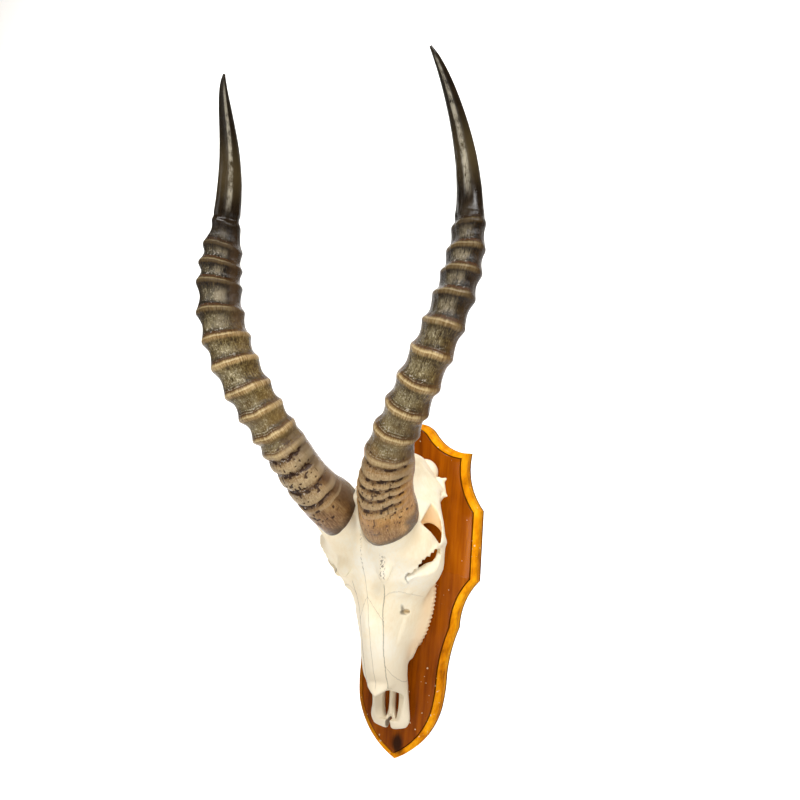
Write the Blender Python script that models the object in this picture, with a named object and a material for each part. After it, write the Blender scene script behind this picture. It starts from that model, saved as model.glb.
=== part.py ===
"""Blesbok skull mount: an antelope skull with ringed horns, hung nose down on a moulded wooden shield.

Metres, +Z up. X runs to the viewer's right, +Y runs into the wall, and the origin is on the shield's
back, where it meets the wall. Most places are given as (x, out, up): out is measured from the
shield's front face towards the viewer.
"""
import math

import bmesh
import bpy
import numpy as np
from mathutils import Vector

for item in list(bpy.data.objects):
    bpy.data.objects.remove(item, do_unlink=True)

GAP = 0.0003

# Shield
SHIELD_THICKNESS = 0.018
MOULDING_WIDTH = 0.0055
MOULDING_DEPTH = 0.0065
QUIRK_STEP = 0.0010
QUIRK_WIDTH = 0.0004
CROWN = (0.0, 0.166)
CROWN_END = (0.021, 0.155)
EAR = (0.061, 0.137)
SHOULDER = (0.077, 0.078)
HIP = (0.0775, 0.006)
WAIST = (0.0585, -0.044)
FLANK = (0.0480, -0.094)
CHIN = (0.0445, -0.130)
TIP = (0.0, -0.1845)

# Horns: places along the middle of the right horn at equal shares of its length, root first
HORN_PLACES = (
    (0.0285, 0.119, 0.074),
    (0.0475, 0.173, 0.120),
    (0.0795, 0.205, 0.178),
    (0.1090, 0.213, 0.2445),
    (0.1190, 0.2045, 0.3165),
    (0.1115, 0.216, 0.388),
    (0.0955, 0.257, 0.4465),
)
HORN_LENGTH = 0.4426
HORN_RADII = (
    (-0.03, 0.0272), (0.02, 0.0266), (0.06, 0.0248), (0.10, 0.0238), (0.15, 0.0226), (0.20, 0.0214),
    (0.28, 0.0200), (0.40, 0.0195), (0.50, 0.0188), (0.60, 0.0172), (0.66, 0.0148), (0.70, 0.0116),
    (0.80, 0.0092), (0.90, 0.0061), (0.97, 0.0030), (1.0, 0.0008),
)
HORN_OVAL = ((0.0, -0.08), (0.12, -0.10), (0.25, 0.03), (0.40, 0.13), (0.60, 0.17), (1.0, 0.10))
OVAL_TURN = math.radians(40)
RINGS_RIGHT = (
    0.665, 0.616, 0.574, 0.527, 0.472, 0.416, 0.354, 0.300, 0.247, 0.196, 0.150, 0.111, 0.080, 0.052,
)
RINGS_LEFT = (
    0.695, 0.643, 0.603, 0.559, 0.502, 0.443, 0.389, 0.332, 0.282, 0.232, 0.194, 0.160, 0.111, 0.066,
)
RING_RISE = 0.0036
RING_RISE_BEHIND = 0.35
RING_TOP = 0.006
RING_FOOT = 0.011
FRONT_SHIFT = 0.0008
HORN_ROOT = -0.004
ROOT_SLOPE_END = 0.12
ROOT_DIP = 0.016
ROOT_DIP_TURN = math.radians(112)
TIP_STATIONS = 6
TIP_START = 0.03
TIP_END = 0.97
SLOPE_STEP = 0.001
HORN_SIDES = 16
SOCKET_TOP = 0.16

# Skull body, muzzle first: (up, half width low and high, lowest and highest out, squareness low and high)
SKULL_SECTIONS = (
    (-0.1490, 0.0110, 0.0100, 0.0110, 0.0170, 2.3, 2.3),
    (-0.1450, 0.0195, 0.0170, 0.0080, 0.0200, 2.3, 2.3),
    (-0.1370, 0.0225, 0.0200, 0.0065, 0.0225, 2.3, 2.3),
    (-0.1250, 0.0218, 0.0190, 0.0070, 0.0275, 2.3, 2.3),
    (-0.1140, 0.0212, 0.0195, 0.0085, 0.0360, 2.3, 2.3),
    (-0.1050, 0.0210, 0.0200, 0.0100, 0.0440, 2.3, 2.3),
    (-0.1030, 0.0212, 0.0165, 0.0100, 0.0570, 2.3, 2.3),
    (-0.0900, 0.0222, 0.0190, 0.0120, 0.0625, 2.3, 2.3),
    (-0.0700, 0.0245, 0.0175, 0.0150, 0.0700, 2.3, 2.3),
    (-0.0450, 0.0300, 0.0160, 0.0180, 0.0800, 2.3, 2.3),
    (-0.0250, 0.0360, 0.0170, 0.0190, 0.0865, 2.3, 2.2),
    (-0.0100, 0.0430, 0.0210, 0.0190, 0.0910, 2.3, 2.0),
    (0.0000, 0.0500, 0.0290, 0.0190, 0.0950, 2.3, 1.9),
    (0.0130, 0.0560, 0.0490, 0.0190, 0.1010, 2.3, 1.8),
    (0.0200, 0.0580, 0.0590, 0.0180, 0.1050, 2.6, 1.7),
    (0.0350, 0.0570, 0.0770, 0.0170, 0.1130, 3.0, 1.6),
    (0.0430, 0.0570, 0.0800, 0.0160, 0.1150, 3.0, 1.5),
    (0.0530, 0.0580, 0.0740, 0.0150, 0.1170, 3.0, 1.5),
    (0.0670, 0.0580, 0.0600, 0.0150, 0.1220, 3.5, 1.6),
    (0.0780, 0.0570, 0.0400, 0.0150, 0.1280, 4.0, 2.0),
    (0.0860, 0.0560, 0.0220, 0.0148, 0.1310, 4.0, 2.3),
    (0.0920, 0.0540, 0.0080, 0.0145, 0.1290, 4.0, 2.3),
    (0.0980, 0.0510, 0.0060, 0.0145, 0.1180, 4.0, 2.3),
    (0.1070, 0.0460, 0.0100, 0.0140, 0.1020, 4.0, 2.3),
    (0.1180, 0.0380, 0.0190, 0.0150, 0.0850, 3.0, 2.3),
    (0.1270, 0.0320, 0.0190, 0.0180, 0.0730, 2.3, 2.3),
    (0.1330, 0.0230, 0.0170, 0.0290, 0.0640, 2.3, 2.3),
)
SKULL_SIDES = 20

# Hollows and lumps of the skull's right side, each an egg (centre, radii), and the left is its mirror image
ORBIT = ((0.0600, 0.0660, 0.0225), (0.0340, 0.0190, 0.0240))
ARCH_UNDERCUT = ((0.0600, 0.0120, 0.0460), (0.0180, 0.0230, 0.0300))
TEMPORAL_HOLLOW = ((0.0620, 0.0780, 0.0770), (0.0260, 0.0300, 0.0240))
CONDYLE = ((0.0205, 0.0150, 0.1135), (0.0140, 0.0142, 0.0145))
MUZZLE_SLIT = ((0.0076, 0.0200, -0.1180), (0.0036, 0.0400, 0.0165))

# Hollows on the skull's middle line
MUZZLE_NOTCH = ((0.0, 0.0160, -0.1420), (0.0027, 0.0200, 0.0075))
NOSE_OPENING = ((0.0, 0.0400, -0.1090), (0.0105, 0.0160, 0.0200))
SPINE_OPENING = ((0.0, 0.0280, 0.1360), (0.0085, 0.0100, 0.0250))

# Bars of the skull's right side: (places, radii, sides, flattening); the temporal hole is cut by one
TEMPORAL_HOLE = (
    ((0.0530, 0.0760, 0.0610), (0.0480, 0.0600, 0.0590), (0.0420, 0.0450, 0.0570),
     (0.0350, 0.0200, 0.0550), (0.0300, 0.0, 0.0540)),
    (0.0090, 0.0095, 0.0095, 0.0095, 0.0095), 8, 1.0,
)
HORN_PEDICLE = (
    ((0.0225, 0.0960, 0.0520), (0.0275, 0.1100, 0.0645), (0.0300, 0.1220, 0.0755)),
    (0.0225, 0.0215, 0.0210), 14, 1.0,
)
POSTORBITAL_BAR = (
    ((0.0540, 0.0860, 0.0460), (0.0590, 0.0740, 0.0465), (0.0570, 0.0440, 0.0480)),
    (0.0070, 0.0050, 0.0055), 8, 0.7,
)
NUCHAL_CREST = (
    ((0.0, 0.0660, 0.1330), (0.0250, 0.0550, 0.1270), (0.0320, 0.0460, 0.1170),
     (0.0360, 0.0360, 0.1090), (0.0430, 0.0220, 0.0980)),
    (0.0050, 0.0045, 0.0045, 0.0050, 0.0050), 6, 1.0,
)

# Cheek teeth, front to back: (name, length along the row, width)
TEETH = (
    ("premolar_2", 0.0090, 0.0072),
    ("premolar_3", 0.0105, 0.0090),
    ("premolar_4", 0.0110, 0.0108),
    ("molar_1", 0.0130, 0.0125),
    ("molar_2", 0.0150, 0.0135),
    ("molar_3", 0.0160, 0.0128),
)
TOOTH_ROW_START = -0.0635
TOOTH_ROW_WIDEST = (0.0302, -0.0100)
TOOTH_ROW_BEND = 3.4
TOOTH_BITE = 0.0008
TOOTH_NECK = 0.0115
BITE_ROUND = 0.0012
TOOTH_SWELLS = ((TOOTH_BITE, 0.90), (TOOTH_BITE + BITE_ROUND, 0.99), (TOOTH_NECK, 0.96))
CHEEK_SIDE = 0.40
CHEEK_RIB = 0.10
TONGUE_SIDE = 0.22
TONGUE_LOBE = 0.28
STEPS_PER_LOBE = 4

# The ridge of the jaw that holds the teeth
RIDGE_LEAD_IN = ((-0.0770, 0.0165, 0.0042, 0.0155), (-0.0700, 0.0185, 0.0046, 0.0130))
RIDGE_END = 0.012
RIDGE_END_WIDTH = 0.006
RIDGE_WALL = 0.0012
RIDGE_GUM_RISE = 0.008
RIDGE_CHEEK = (0.0125, 0.060)
RIDGE_PALATE = (0.0040, 0.045)

# Fixings in the back
SKULL_SCREW_UPS = (0.070, -0.040)
SCREW_LENGTH = 0.050
SCREW_RADIUS = 0.0021
SCREW_HEAD_RADIUS = 0.0042
SCREW_HEAD_DEPTH = 0.0026
SCREW_POINT = 0.006
SCREW_POINT_RADIUS = 0.0004
SCREW_RIM = 0.25
SCREW_SIDES = 8
HANGER_UP = 0.115
HANGER_LENGTH = 0.046
HANGER_WIDTH = 0.016
HANGER_THICKNESS = 0.0016
HANGER_SCREW_REACH = 0.018
HANGER_SCREW_UPS = (HANGER_UP + HANGER_SCREW_REACH, HANGER_UP - HANGER_SCREW_REACH)
HANGER_SCREW_RADIUS = 0.0014
HANGER_SCREW_LENGTH = 0.012
HANGER_HEAD_RADIUS = 0.0029
HANGER_HEAD_DEPTH = 0.0012
KEYHOLE_RADIUS = 0.0048
KEYHOLE_SLOT = 0.0056
KEYHOLE_RISE = 0.0095
ENTRY_SIDES = 12
ROUND_END_STEPS = 5
POCKET_DEPTH = 0.0100
CUT_OVERRUN = 0.001
FLAT_ANGLE = math.radians(0.5)
SHARP_ANGLE = math.radians(40)


def place(x, out, up):
    """A point of the model from its distance to the right, out of the shield's face, and up."""
    return Vector((x, -(SHIELD_THICKNESS + out), up))


def finish(name, colour, roughness, metallic=0.0):
    """A plain material for one sub-part."""
    material = bpy.data.materials.new(name)
    material.use_nodes = True
    shader = material.node_tree.nodes["Principled BSDF"]
    shader.inputs["Base Color"].default_value = (*colour, 1.0)
    shader.inputs["Roughness"].default_value = roughness
    shader.inputs["Metallic"].default_value = metallic
    return material


WOOD = finish("varnished wood", (0.33, 0.10, 0.02), 0.25)
BONE = finish("bleached bone", (0.86, 0.80, 0.68), 0.6)
HORN = finish("ringed horn", (0.20, 0.14, 0.08), 0.35)
ENAMEL = finish("tooth enamel", (0.80, 0.68, 0.52), 0.4)
STEEL = finish("zinc-plated steel", (0.62, 0.60, 0.55), 0.35, 1.0)


def add_object(name, bm, material=None):
    """Closes the book on a bmesh: triangulates it, points its faces outwards and makes it an object."""
    bmesh.ops.remove_doubles(bm, verts=bm.verts, dist=1e-6)
    bmesh.ops.triangulate(bm, faces=bm.faces)
    bmesh.ops.recalc_face_normals(bm, faces=bm.faces)
    mesh = bpy.data.meshes.new(name)
    bm.to_mesh(mesh)
    bm.free()
    if material:
        mesh.materials.append(material)
        mesh.shade_smooth()
        mesh.set_sharp_from_angle(angle=SHARP_ANGLE)
    thing = bpy.data.objects.new(name, mesh)
    bpy.context.collection.objects.link(thing)
    return thing


def loft(rings, name="shape", material=None):
    """A closed body through rings of points, each ring with the same number of them, ends capped."""
    bm = bmesh.new()
    rows = [[bm.verts.new(point) for point in ring] for ring in rings]
    count = len(rows[0])
    for lower, upper in zip(rows, rows[1:]):
        for i in range(count):
            j = (i + 1) % count
            bm.faces.new((lower[i], lower[j], upper[j], upper[i]))
    bm.faces.new(rows[0][::-1])
    bm.faces.new(rows[-1])
    return add_object(name, bm, material)


def combine(target, other, operation):
    """Joins another body to the target, or cuts it out of it, and removes the other body."""
    modifier = target.modifiers.new(operation, "BOOLEAN")
    modifier.operation = operation
    modifier.solver = "EXACT"
    modifier.object = other
    graph = bpy.context.evaluated_depsgraph_get()
    graph.update()
    mesh = bpy.data.meshes.new_from_object(target.evaluated_get(graph))
    target.modifiers.clear()
    target.data = mesh
    bpy.data.objects.remove(other, do_unlink=True)


def merge_flats(thing):
    """Joins the pieces that the cuts left in flat places, and makes triangles of them again."""
    bm = bmesh.new()
    bm.from_mesh(thing.data)
    bmesh.ops.dissolve_limit(bm, angle_limit=FLAT_ANGLE, verts=bm.verts, edges=bm.edges)
    bmesh.ops.triangulate(bm, faces=bm.faces)
    bm.to_mesh(thing.data)
    bm.free()


def mirrored(spot, side):
    """A place on the skull's right side, or the same place on its left."""
    x, out, up = spot
    return side * x, out, up


def egg(centre, radii, side=1):
    """An egg at (x, out, up) on one side."""
    bm = bmesh.new()
    bmesh.ops.create_icosphere(bm, subdivisions=2, radius=1.0)
    middle = place(*mirrored(centre, side))
    for vert in bm.verts:
        x, y, z = (value * radius for value, radius in zip(vert.co, radii))
        vert.co = middle + Vector((x, y, z))
    return add_object("egg", bm)


def bar(places, radii, sides, flattening, side):
    """A bar through (x, out, up) places with its own radius at each, flattened across X."""
    points = [place(*mirrored(spot, side)) for spot in places]
    turns = np.linspace(0, 2 * math.pi, sides, endpoint=False)
    loops = []
    for i, (point, radius) in enumerate(zip(points, radii)):
        along = (points[min(i + 1, len(points) - 1)] - points[max(i - 1, 0)]).normalized()
        across = Vector((1, 0, 0)).cross(along).normalized()
        over = along.cross(across) * flattening
        loops.append([point + (across * math.cos(a) + over * math.sin(a)) * radius for a in turns])
    return loft(loops, "bar")


def arc(start, end, bulge, steps):
    """Points from start up to but not at end, on a parabola that stands off the chord by bulge."""
    t = np.arange(steps) / steps
    start, end = np.array(start), np.array(end)
    chord = end - start
    outward = np.array((-chord[1], chord[0])) / np.linalg.norm(chord)
    return start + np.outer(t, chord) + np.outer(4 * bulge * t * (1 - t), outward)


def shield_outline():
    """The whole outline in (x, up), clockwise from the crown: the right half, then its mirror image."""
    half = np.vstack((
        arc(CROWN, CROWN_END, 0.0030, 4),
        arc(CROWN_END, EAR, -0.0058, 5),
        arc(EAR, SHOULDER, -0.0070, 6),
        arc(SHOULDER, HIP, 0.0, 1),
        arc(HIP, WAIST, -0.0052, 5),
        arc(WAIST, FLANK, -0.0020, 4),
        arc(FLANK, CHIN, 0.0010, 2),
        arc(CHIN, TIP, 0.0078, 8),
        [TIP],
    ))
    left = half[1:-1][::-1] * (-1, 1)
    return np.vstack((half, left))


def inset(outline, distance):
    """The outline moved inwards: each corner goes along its mitre, the sum of its sides' normals."""
    before = outline - np.roll(outline, 1, axis=0)
    after = np.roll(outline, -1, axis=0) - outline
    normals = []
    for side in (before, after):
        side = side / np.linalg.norm(side, axis=1)[:, None]
        normals.append(np.column_stack((side[:, 1], -side[:, 0])))
    mitre = (normals[0] + normals[1]) / (1 + (normals[0] * normals[1]).sum(axis=1))[:, None]
    return outline + mitre * distance


def make_shield():
    """The board, carried up from the back: a straight edge, a quarter-round moulding and a small quirk."""
    outline = shield_outline()
    steps = [(0.0, -SHIELD_THICKNESS), (0.0, -MOULDING_DEPTH)]
    for turn in (30, 60, 90):
        a = math.radians(turn)
        rise = (MOULDING_DEPTH - QUIRK_STEP) * math.sin(a)
        steps.append((MOULDING_WIDTH * (1 - math.cos(a)), rise - MOULDING_DEPTH))
    steps.append((MOULDING_WIDTH + QUIRK_WIDTH, 0.0))
    loops = [[place(x, out, up) for x, up in inset(outline, distance)] for distance, out in steps]
    shield = loft(loops, "shield", WOOD)
    for up in SKULL_SCREW_UPS:
        combine(shield, skull_screw(up, GAP), "DIFFERENCE")
    bed_floor = HANGER_THICKNESS + 2 * GAP - SHIELD_THICKNESS
    bed = stadium(HANGER_LENGTH + 2 * GAP, HANGER_WIDTH + 2 * GAP,
                  -SHIELD_THICKNESS - CUT_OVERRUN, bed_floor)
    combine(shield, bed, "DIFFERENCE")
    room = stadium(KEYHOLE_RISE + 2 * KEYHOLE_RADIUS, 2 * KEYHOLE_RADIUS, -SHIELD_THICKNESS,
                   POCKET_DEPTH - SHIELD_THICKNESS)
    combine(shield, room, "DIFFERENCE")
    for up in HANGER_SCREW_UPS:
        combine(shield, hanger_screw(up, GAP), "DIFFERENCE")
    merge_flats(shield)
    return shield


def along_table(table, share):
    """Reads a value off a short table of (share, value) steps, in between by straight lines."""
    shares, values = zip(*table)
    return np.interp(share, shares, values)


def horn_middle(share):
    """Polynomials through the horn's places, which are equal steps of share apart."""
    steps = np.linspace(0, 1, len(HORN_PLACES))
    shape = np.polyfit(steps, np.array(HORN_PLACES), len(HORN_PLACES) - 1)
    return np.column_stack([np.polyval(shape[:, axis], share) for axis in range(3)])


def horn_shares(rings):
    """Stations along the horn: three for each ring, and a few up the smooth tip."""
    shares = [HORN_ROOT]
    for ring in rings:
        shares += [ring + RING_TOP, ring, ring - RING_FOOT]
    shares += [*np.linspace(rings[0] + TIP_START, TIP_END, TIP_STATIONS), 1.0]
    return np.array(sorted(shares))


def ring_height(share, rings):
    """How far a ring stands out, from 0 in the hollows to 1 on its crest: its tip side is steeper."""
    height = np.zeros_like(share)
    for ring in rings:
        bead = np.interp(share, (ring - RING_FOOT, ring, ring + RING_TOP), (0, 1, 0))
        height = np.maximum(height, bead)
    return height


def horn_loops(side, rings, shares, grow=0.0):
    """Oval loops round the horn's middle: the hollows are deepest in front, and the root dips there."""
    middle = horn_middle(shares)
    ahead = horn_middle(shares + SLOPE_STEP) - horn_middle(shares - SLOPE_STEP)
    radii = along_table(HORN_RADII, shares) + grow
    oval = along_table(HORN_OVAL, shares)
    ringed = shares < rings[0] + 2 * RING_TOP
    hollows = (1 - ring_height(shares, rings)) * RING_RISE * ringed
    dips = ROOT_DIP * np.clip((ROOT_SLOPE_END - shares) / (ROOT_SLOPE_END - HORN_ROOT), 0, 1)
    turns = np.linspace(0, 2 * math.pi, HORN_SIDES, endpoint=False)
    loops = []
    for point, way, radius, squash, hollow, dip in zip(middle, ahead, radii, oval, hollows, dips):
        along = Vector((way[0], -way[1], way[2])).normalized()
        outer = (Vector((1, 0, 0)) - along * along.x).normalized()
        front = outer.cross(along)
        loop = []
        for a in turns:
            facing = 0.5 + 0.5 * math.sin(a)
            weight = RING_RISE_BEHIND + (1 - RING_RISE_BEHIND) * facing
            reach = radius * (1 + squash * math.cos(2 * (a - OVAL_TURN))) - hollow * weight
            reach += FRONT_SHIFT * math.sin(a)
            slide = dip * (0.5 + 0.5 * math.cos(a - ROOT_DIP_TURN))
            spot = place(*point) + (outer * math.cos(a) + front * math.sin(a)) * reach - along * slide
            loop.append(Vector((spot.x * side, spot.y, spot.z)))
        loops.append(loop)
    return loops


def make_horn(name, side, rings):
    """One horn sheath, a closed body from its root to its tip."""
    return loft(horn_loops(side, rings, horn_shares(rings)), name, HORN)


def horn_socket(side, rings):
    """What the horn's root takes out of the skull: the horn's own loops, grown by a gap."""
    shares = horn_shares(rings)
    shares = shares[shares < SOCKET_TOP]
    shares[0] -= 2 * GAP / HORN_LENGTH
    return loft(horn_loops(side, rings, shares, 2 * GAP), "socket")


def skull_loop(up, half_low, half_high, low, high, square_low, square_high):
    """A superellipse in the (x, out) plane: its half width and squareness change from low to high out."""
    a = np.linspace(0, 2 * math.pi, SKULL_SIDES, endpoint=False)
    c, s = np.cos(a), np.sin(a)
    squareness = np.where(s > 0, square_high, square_low)
    out = (low + high) / 2 + (high - low) / 2 * np.sign(s) * np.abs(s) ** (2 / squareness)
    half = half_low + (half_high - half_low) * (out - low) / (high - low)
    x = half * np.sign(c) * np.abs(c) ** (2 / squareness)
    return [place(*spot, up) for spot in zip(x, out)]


def row_middle(up):
    """How far out to the side the tooth row's middle lies, on a parabola."""
    widest, at = TOOTH_ROW_WIDEST
    return widest - TOOTH_ROW_BEND * (up - at) ** 2


def tooth_places():
    """Each tooth's name, size and the height of its middle, worked out from the one before it."""
    up = TOOTH_ROW_START
    for name, length, width in TEETH:
        yield name, length, width, up + length / 2
        up += length + 2 * GAP


def tooth_ridge(side):
    """The jaw's edge that holds the teeth: a bar that follows the row, a little wider than the teeth."""
    neck = TOOTH_NECK + GAP
    stations = list(RIDGE_LEAD_IN)
    for name, length, width, up in tooth_places():
        stations.append((up, row_middle(up), width / 2 + RIDGE_WALL, neck))
    end = up + RIDGE_END
    stations.append((end, row_middle(end), RIDGE_END_WIDTH / 2 + RIDGE_WALL, neck))
    loops = []
    for up, x, half, low in stations:
        inner, outer, gum = x - half, x + half, low + RIDGE_GUM_RISE
        corners = ((inner, low), (outer, low), (outer, gum), (outer - RIDGE_CHEEK[0], RIDGE_CHEEK[1]),
                   (inner - RIDGE_PALATE[0], RIDGE_PALATE[1]), (inner, gum))
        loops.append([place(side * a, out, up) for a, out in corners])
    return loft(loops, "ridge")


def make_tooth(name, side, length, width, up, lobes):
    """A high crown with one lobe or two: ribs on the cheek side, round lobes on the tongue side."""
    slope = -2 * TOOTH_ROW_BEND * (up - TOOTH_ROW_WIDEST[1])
    turn = math.atan(slope)
    t = np.linspace(0, 1, STEPS_PER_LOBE * lobes + 1)
    cheek = width * (CHEEK_SIDE + CHEEK_RIB * np.abs(np.cos(2 * lobes * math.pi * t)))
    tongue = -width * (TONGUE_SIDE + TONGUE_LOBE * np.sqrt(np.abs(np.sin(lobes * math.pi * t))))
    u = np.concatenate((t, t[::-1])) * length - length / 2
    v = np.concatenate((cheek, tongue[::-1]))
    loops = []
    for out, swell in TOOTH_SWELLS:
        x = row_middle(up) + (v * math.cos(turn) + u * math.sin(turn)) * swell
        z = up + (u * math.cos(turn) - v * math.sin(turn)) * swell
        loops.append([place(side * a, out, b) for a, b in zip(x, z)])
    return loft(loops, name, ENAMEL)


def turned(profile, up, sides, name, material=None):
    """A body turned about an axis that runs out of the wall: profile is (out, radius) steps."""
    turns = np.linspace(0, 2 * math.pi, sides, endpoint=False)
    loops = [[place(radius * math.cos(a), out, up + radius * math.sin(a)) for a in turns]
             for out, radius in profile]
    return loft(loops, name, material)


def screw_profile(back, head_radius, head_depth, radius, length, grow=0.0):
    """A countersunk wood screw from its head's flat face to its point, or the hole that it needs."""
    tip = back + length + grow
    return (
        (back - 3 * grow, head_radius + grow),
        (back + head_depth * SCREW_RIM, head_radius + grow),
        (back + head_depth + grow, radius + grow),
        (tip - SCREW_POINT, radius + grow),
        (tip, SCREW_POINT_RADIUS + grow),
    )


def skull_screw(up, grow=0.0, name="hole", material=None):
    """One of the screws through the board into the skull."""
    back = GAP - SHIELD_THICKNESS
    profile = screw_profile(back, SCREW_HEAD_RADIUS, SCREW_HEAD_DEPTH, SCREW_RADIUS, SCREW_LENGTH, grow)
    return turned(profile, up, SCREW_SIDES, name, material)


def hanger_screw(up, grow=0.0, name="hole", material=None):
    """One of the short screws that hold the hanger."""
    back = GAP - SHIELD_THICKNESS
    profile = screw_profile(back, HANGER_HEAD_RADIUS, HANGER_HEAD_DEPTH, HANGER_SCREW_RADIUS,
                            HANGER_SCREW_LENGTH, grow)
    return turned(profile, up, SCREW_SIDES, name, material)


def stadium(length, width, back, front, name="slot", material=None):
    """An upright plate or pocket with round ends at the hanger's height, between two distances out."""
    half = (length - width) / 2
    points = []
    for centre, start in ((half, 0.0), (-half, math.pi)):
        for a in np.linspace(start, start + math.pi, ROUND_END_STEPS):
            points.append((width / 2 * math.cos(a), HANGER_UP + centre + width / 2 * math.sin(a)))
    loops = [[place(x, out, up) for x, up in points] for out in (back, front)]
    return loft(loops, name, material)


def make_hanger():
    """A keyhole hanger, a flush plate: its round hole passes a screw's head and its slot holds the neck."""
    back = GAP - SHIELD_THICKNESS
    plate = stadium(HANGER_LENGTH, HANGER_WIDTH, back, back + HANGER_THICKNESS, "hanger_plate", STEEL)
    through = (back - CUT_OVERRUN, back + HANGER_THICKNESS + CUT_OVERRUN)
    entry = [(out, KEYHOLE_RADIUS) for out in through]
    combine(plate, turned(entry, HANGER_UP - KEYHOLE_RISE / 2, ENTRY_SIDES, "entry"), "DIFFERENCE")
    combine(plate, stadium(KEYHOLE_RISE + KEYHOLE_SLOT, KEYHOLE_SLOT, *through), "DIFFERENCE")
    for up in HANGER_SCREW_UPS:
        combine(plate, hanger_screw(up, GAP), "DIFFERENCE")
    merge_flats(plate)
    return plate


def make_skull():
    """The skull: one loft from muzzle to nape, then its bars joined on and its hollows cut."""
    skull = loft([skull_loop(*section) for section in SKULL_SECTIONS], "skull", BONE)
    for side, rings in ((1, RINGS_RIGHT), (-1, RINGS_LEFT)):
        combine(skull, tooth_ridge(side), "UNION")
        for hollow in (ORBIT, TEMPORAL_HOLLOW, ARCH_UNDERCUT):
            combine(skull, egg(*hollow, side), "DIFFERENCE")
        for rod in (HORN_PEDICLE, POSTORBITAL_BAR, NUCHAL_CREST):
            combine(skull, bar(*rod, side), "UNION")
        combine(skull, bar(*TEMPORAL_HOLE, side), "DIFFERENCE")
        combine(skull, egg(*CONDYLE, side), "UNION")
        combine(skull, egg(*MUZZLE_SLIT, side), "DIFFERENCE")
        combine(skull, horn_socket(side, rings), "DIFFERENCE")
    for hollow in (MUZZLE_NOTCH, NOSE_OPENING, SPINE_OPENING):
        combine(skull, egg(*hollow), "DIFFERENCE")
    for up in SKULL_SCREW_UPS:
        combine(skull, skull_screw(up, GAP), "DIFFERENCE")
    merge_flats(skull)
    return skull


make_shield()
make_skull()
make_horn("horn_right", 1, RINGS_RIGHT)
make_horn("horn_left", -1, RINGS_LEFT)
for side, hand in ((1, "right"), (-1, "left")):
    for name, length, width, up in tooth_places():
        make_tooth(f"{name}_{hand}", side, length, width, up, 2 if name.startswith("molar") else 1)
for up, name in zip(SKULL_SCREW_UPS, ("upper", "lower")):
    skull_screw(up, 0.0, f"skull_screw_{name}", STEEL)
make_hanger()
for up, name in zip(HANGER_SCREW_UPS, ("upper", "lower")):
    hanger_screw(up, 0.0, f"hanger_screw_{name}", STEEL)
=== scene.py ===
# %% [markdown]
# A blesbok skull hangs nose down on a moulded shield of varnished wood, with its two ringed horns
# standing up and towards the room. This lesson dresses a packed model of it: the model gives every
# piece its size and place, and each cell below makes one piece or one finish that lies over it.
# The frame is in metres, +X to the viewer's right, +Y into the wall and +Z up.

# %% Load the frame
import math
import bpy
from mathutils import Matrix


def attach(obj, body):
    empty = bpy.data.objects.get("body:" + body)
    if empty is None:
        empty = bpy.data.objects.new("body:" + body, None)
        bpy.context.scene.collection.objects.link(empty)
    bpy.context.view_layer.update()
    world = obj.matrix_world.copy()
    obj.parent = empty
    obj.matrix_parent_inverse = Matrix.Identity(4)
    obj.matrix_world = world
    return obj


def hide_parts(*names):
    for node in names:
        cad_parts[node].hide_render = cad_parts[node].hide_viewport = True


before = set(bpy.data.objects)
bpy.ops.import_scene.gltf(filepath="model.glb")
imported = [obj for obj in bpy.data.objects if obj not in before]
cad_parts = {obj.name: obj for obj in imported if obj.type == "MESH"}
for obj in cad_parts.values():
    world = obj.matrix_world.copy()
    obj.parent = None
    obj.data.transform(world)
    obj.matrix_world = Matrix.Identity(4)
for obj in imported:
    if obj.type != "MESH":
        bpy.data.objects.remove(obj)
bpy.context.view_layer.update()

from types import SimpleNamespace

import bpy
import numpy as np
from mathutils import Matrix, Vector

print("pieces in the frame:", len(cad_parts))

# %% [markdown]
# Three facts place everything. The shield is 18 mm thick and its back is the origin's plane. Places
# on the skull and horns are written as (x, out, up), where out is measured from the shield's face
# towards the room, so that a reader can think of the board as the ground that the skull lies on.

# %% Places
MM = 0.001
GAP = 0.0003
SHIELD_THICKNESS = 0.018


def place(spots):
    """Turns (x, out, up) into the frame's x, y, z: y is minus the shield's thickness minus out."""
    spots = np.asarray(spots, float)
    return np.stack((spots[..., 0], -(SHIELD_THICKNESS + spots[..., 1]), spots[..., 2]), -1)


def eased(value, low, high):
    """0 below low, 1 above high, and a smooth step between; low may be the larger one."""
    t = np.clip((value - low) / (high - low), 0, 1)
    return t * t * (3 - 2 * t)


def read_table(table, at):
    """Curves through rows of (place, values...), in cubic steps.

    The slope at a row is the harmonic mean of the slopes on its two sides, so no curve overshoots.
    """
    table = np.array(table, float)
    at = np.asarray(at, float)
    steps, values = table[:, 0], table[:, 1:]
    gaps = np.diff(steps)[:, None]
    rates = np.diff(values, axis=0) / gaps
    product = rates[:-1] * rates[1:]
    means = 2 * product / np.where(product > 0, rates[:-1] + rates[1:], 1.0)
    slopes = np.vstack((rates[:1], np.where(product > 0, means, 0.0), rates[-1:]))
    i = np.clip(np.searchsorted(steps, at.ravel()) - 1, 0, len(steps) - 2)
    t = np.clip((at.ravel()[:, None] - steps[i][:, None]) / gaps[i], 0, 1)
    rise = values[i + 1] - values[i]
    bend = slopes[i] * gaps[i] - rise
    turn = rise - slopes[i + 1] * gaps[i]
    curve = values[i] + t * rise + t * (1 - t) * ((1 - t) * bend + t * turn)
    curve = curve.reshape(at.shape + (values.shape[1],))
    return curve[..., 0] if values.shape[1] == 1 else curve


print("shield face at y =", -SHIELD_THICKNESS)

# %% [markdown]
# A surface is a function of two parameters. Its points are worked out as one array, rows by columns,
# and this helper turns such a grid into a mesh: each row closes on itself like a hoop, neighbouring
# rows are joined by quads, and a single point closes each end so that the body has no hole.

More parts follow.
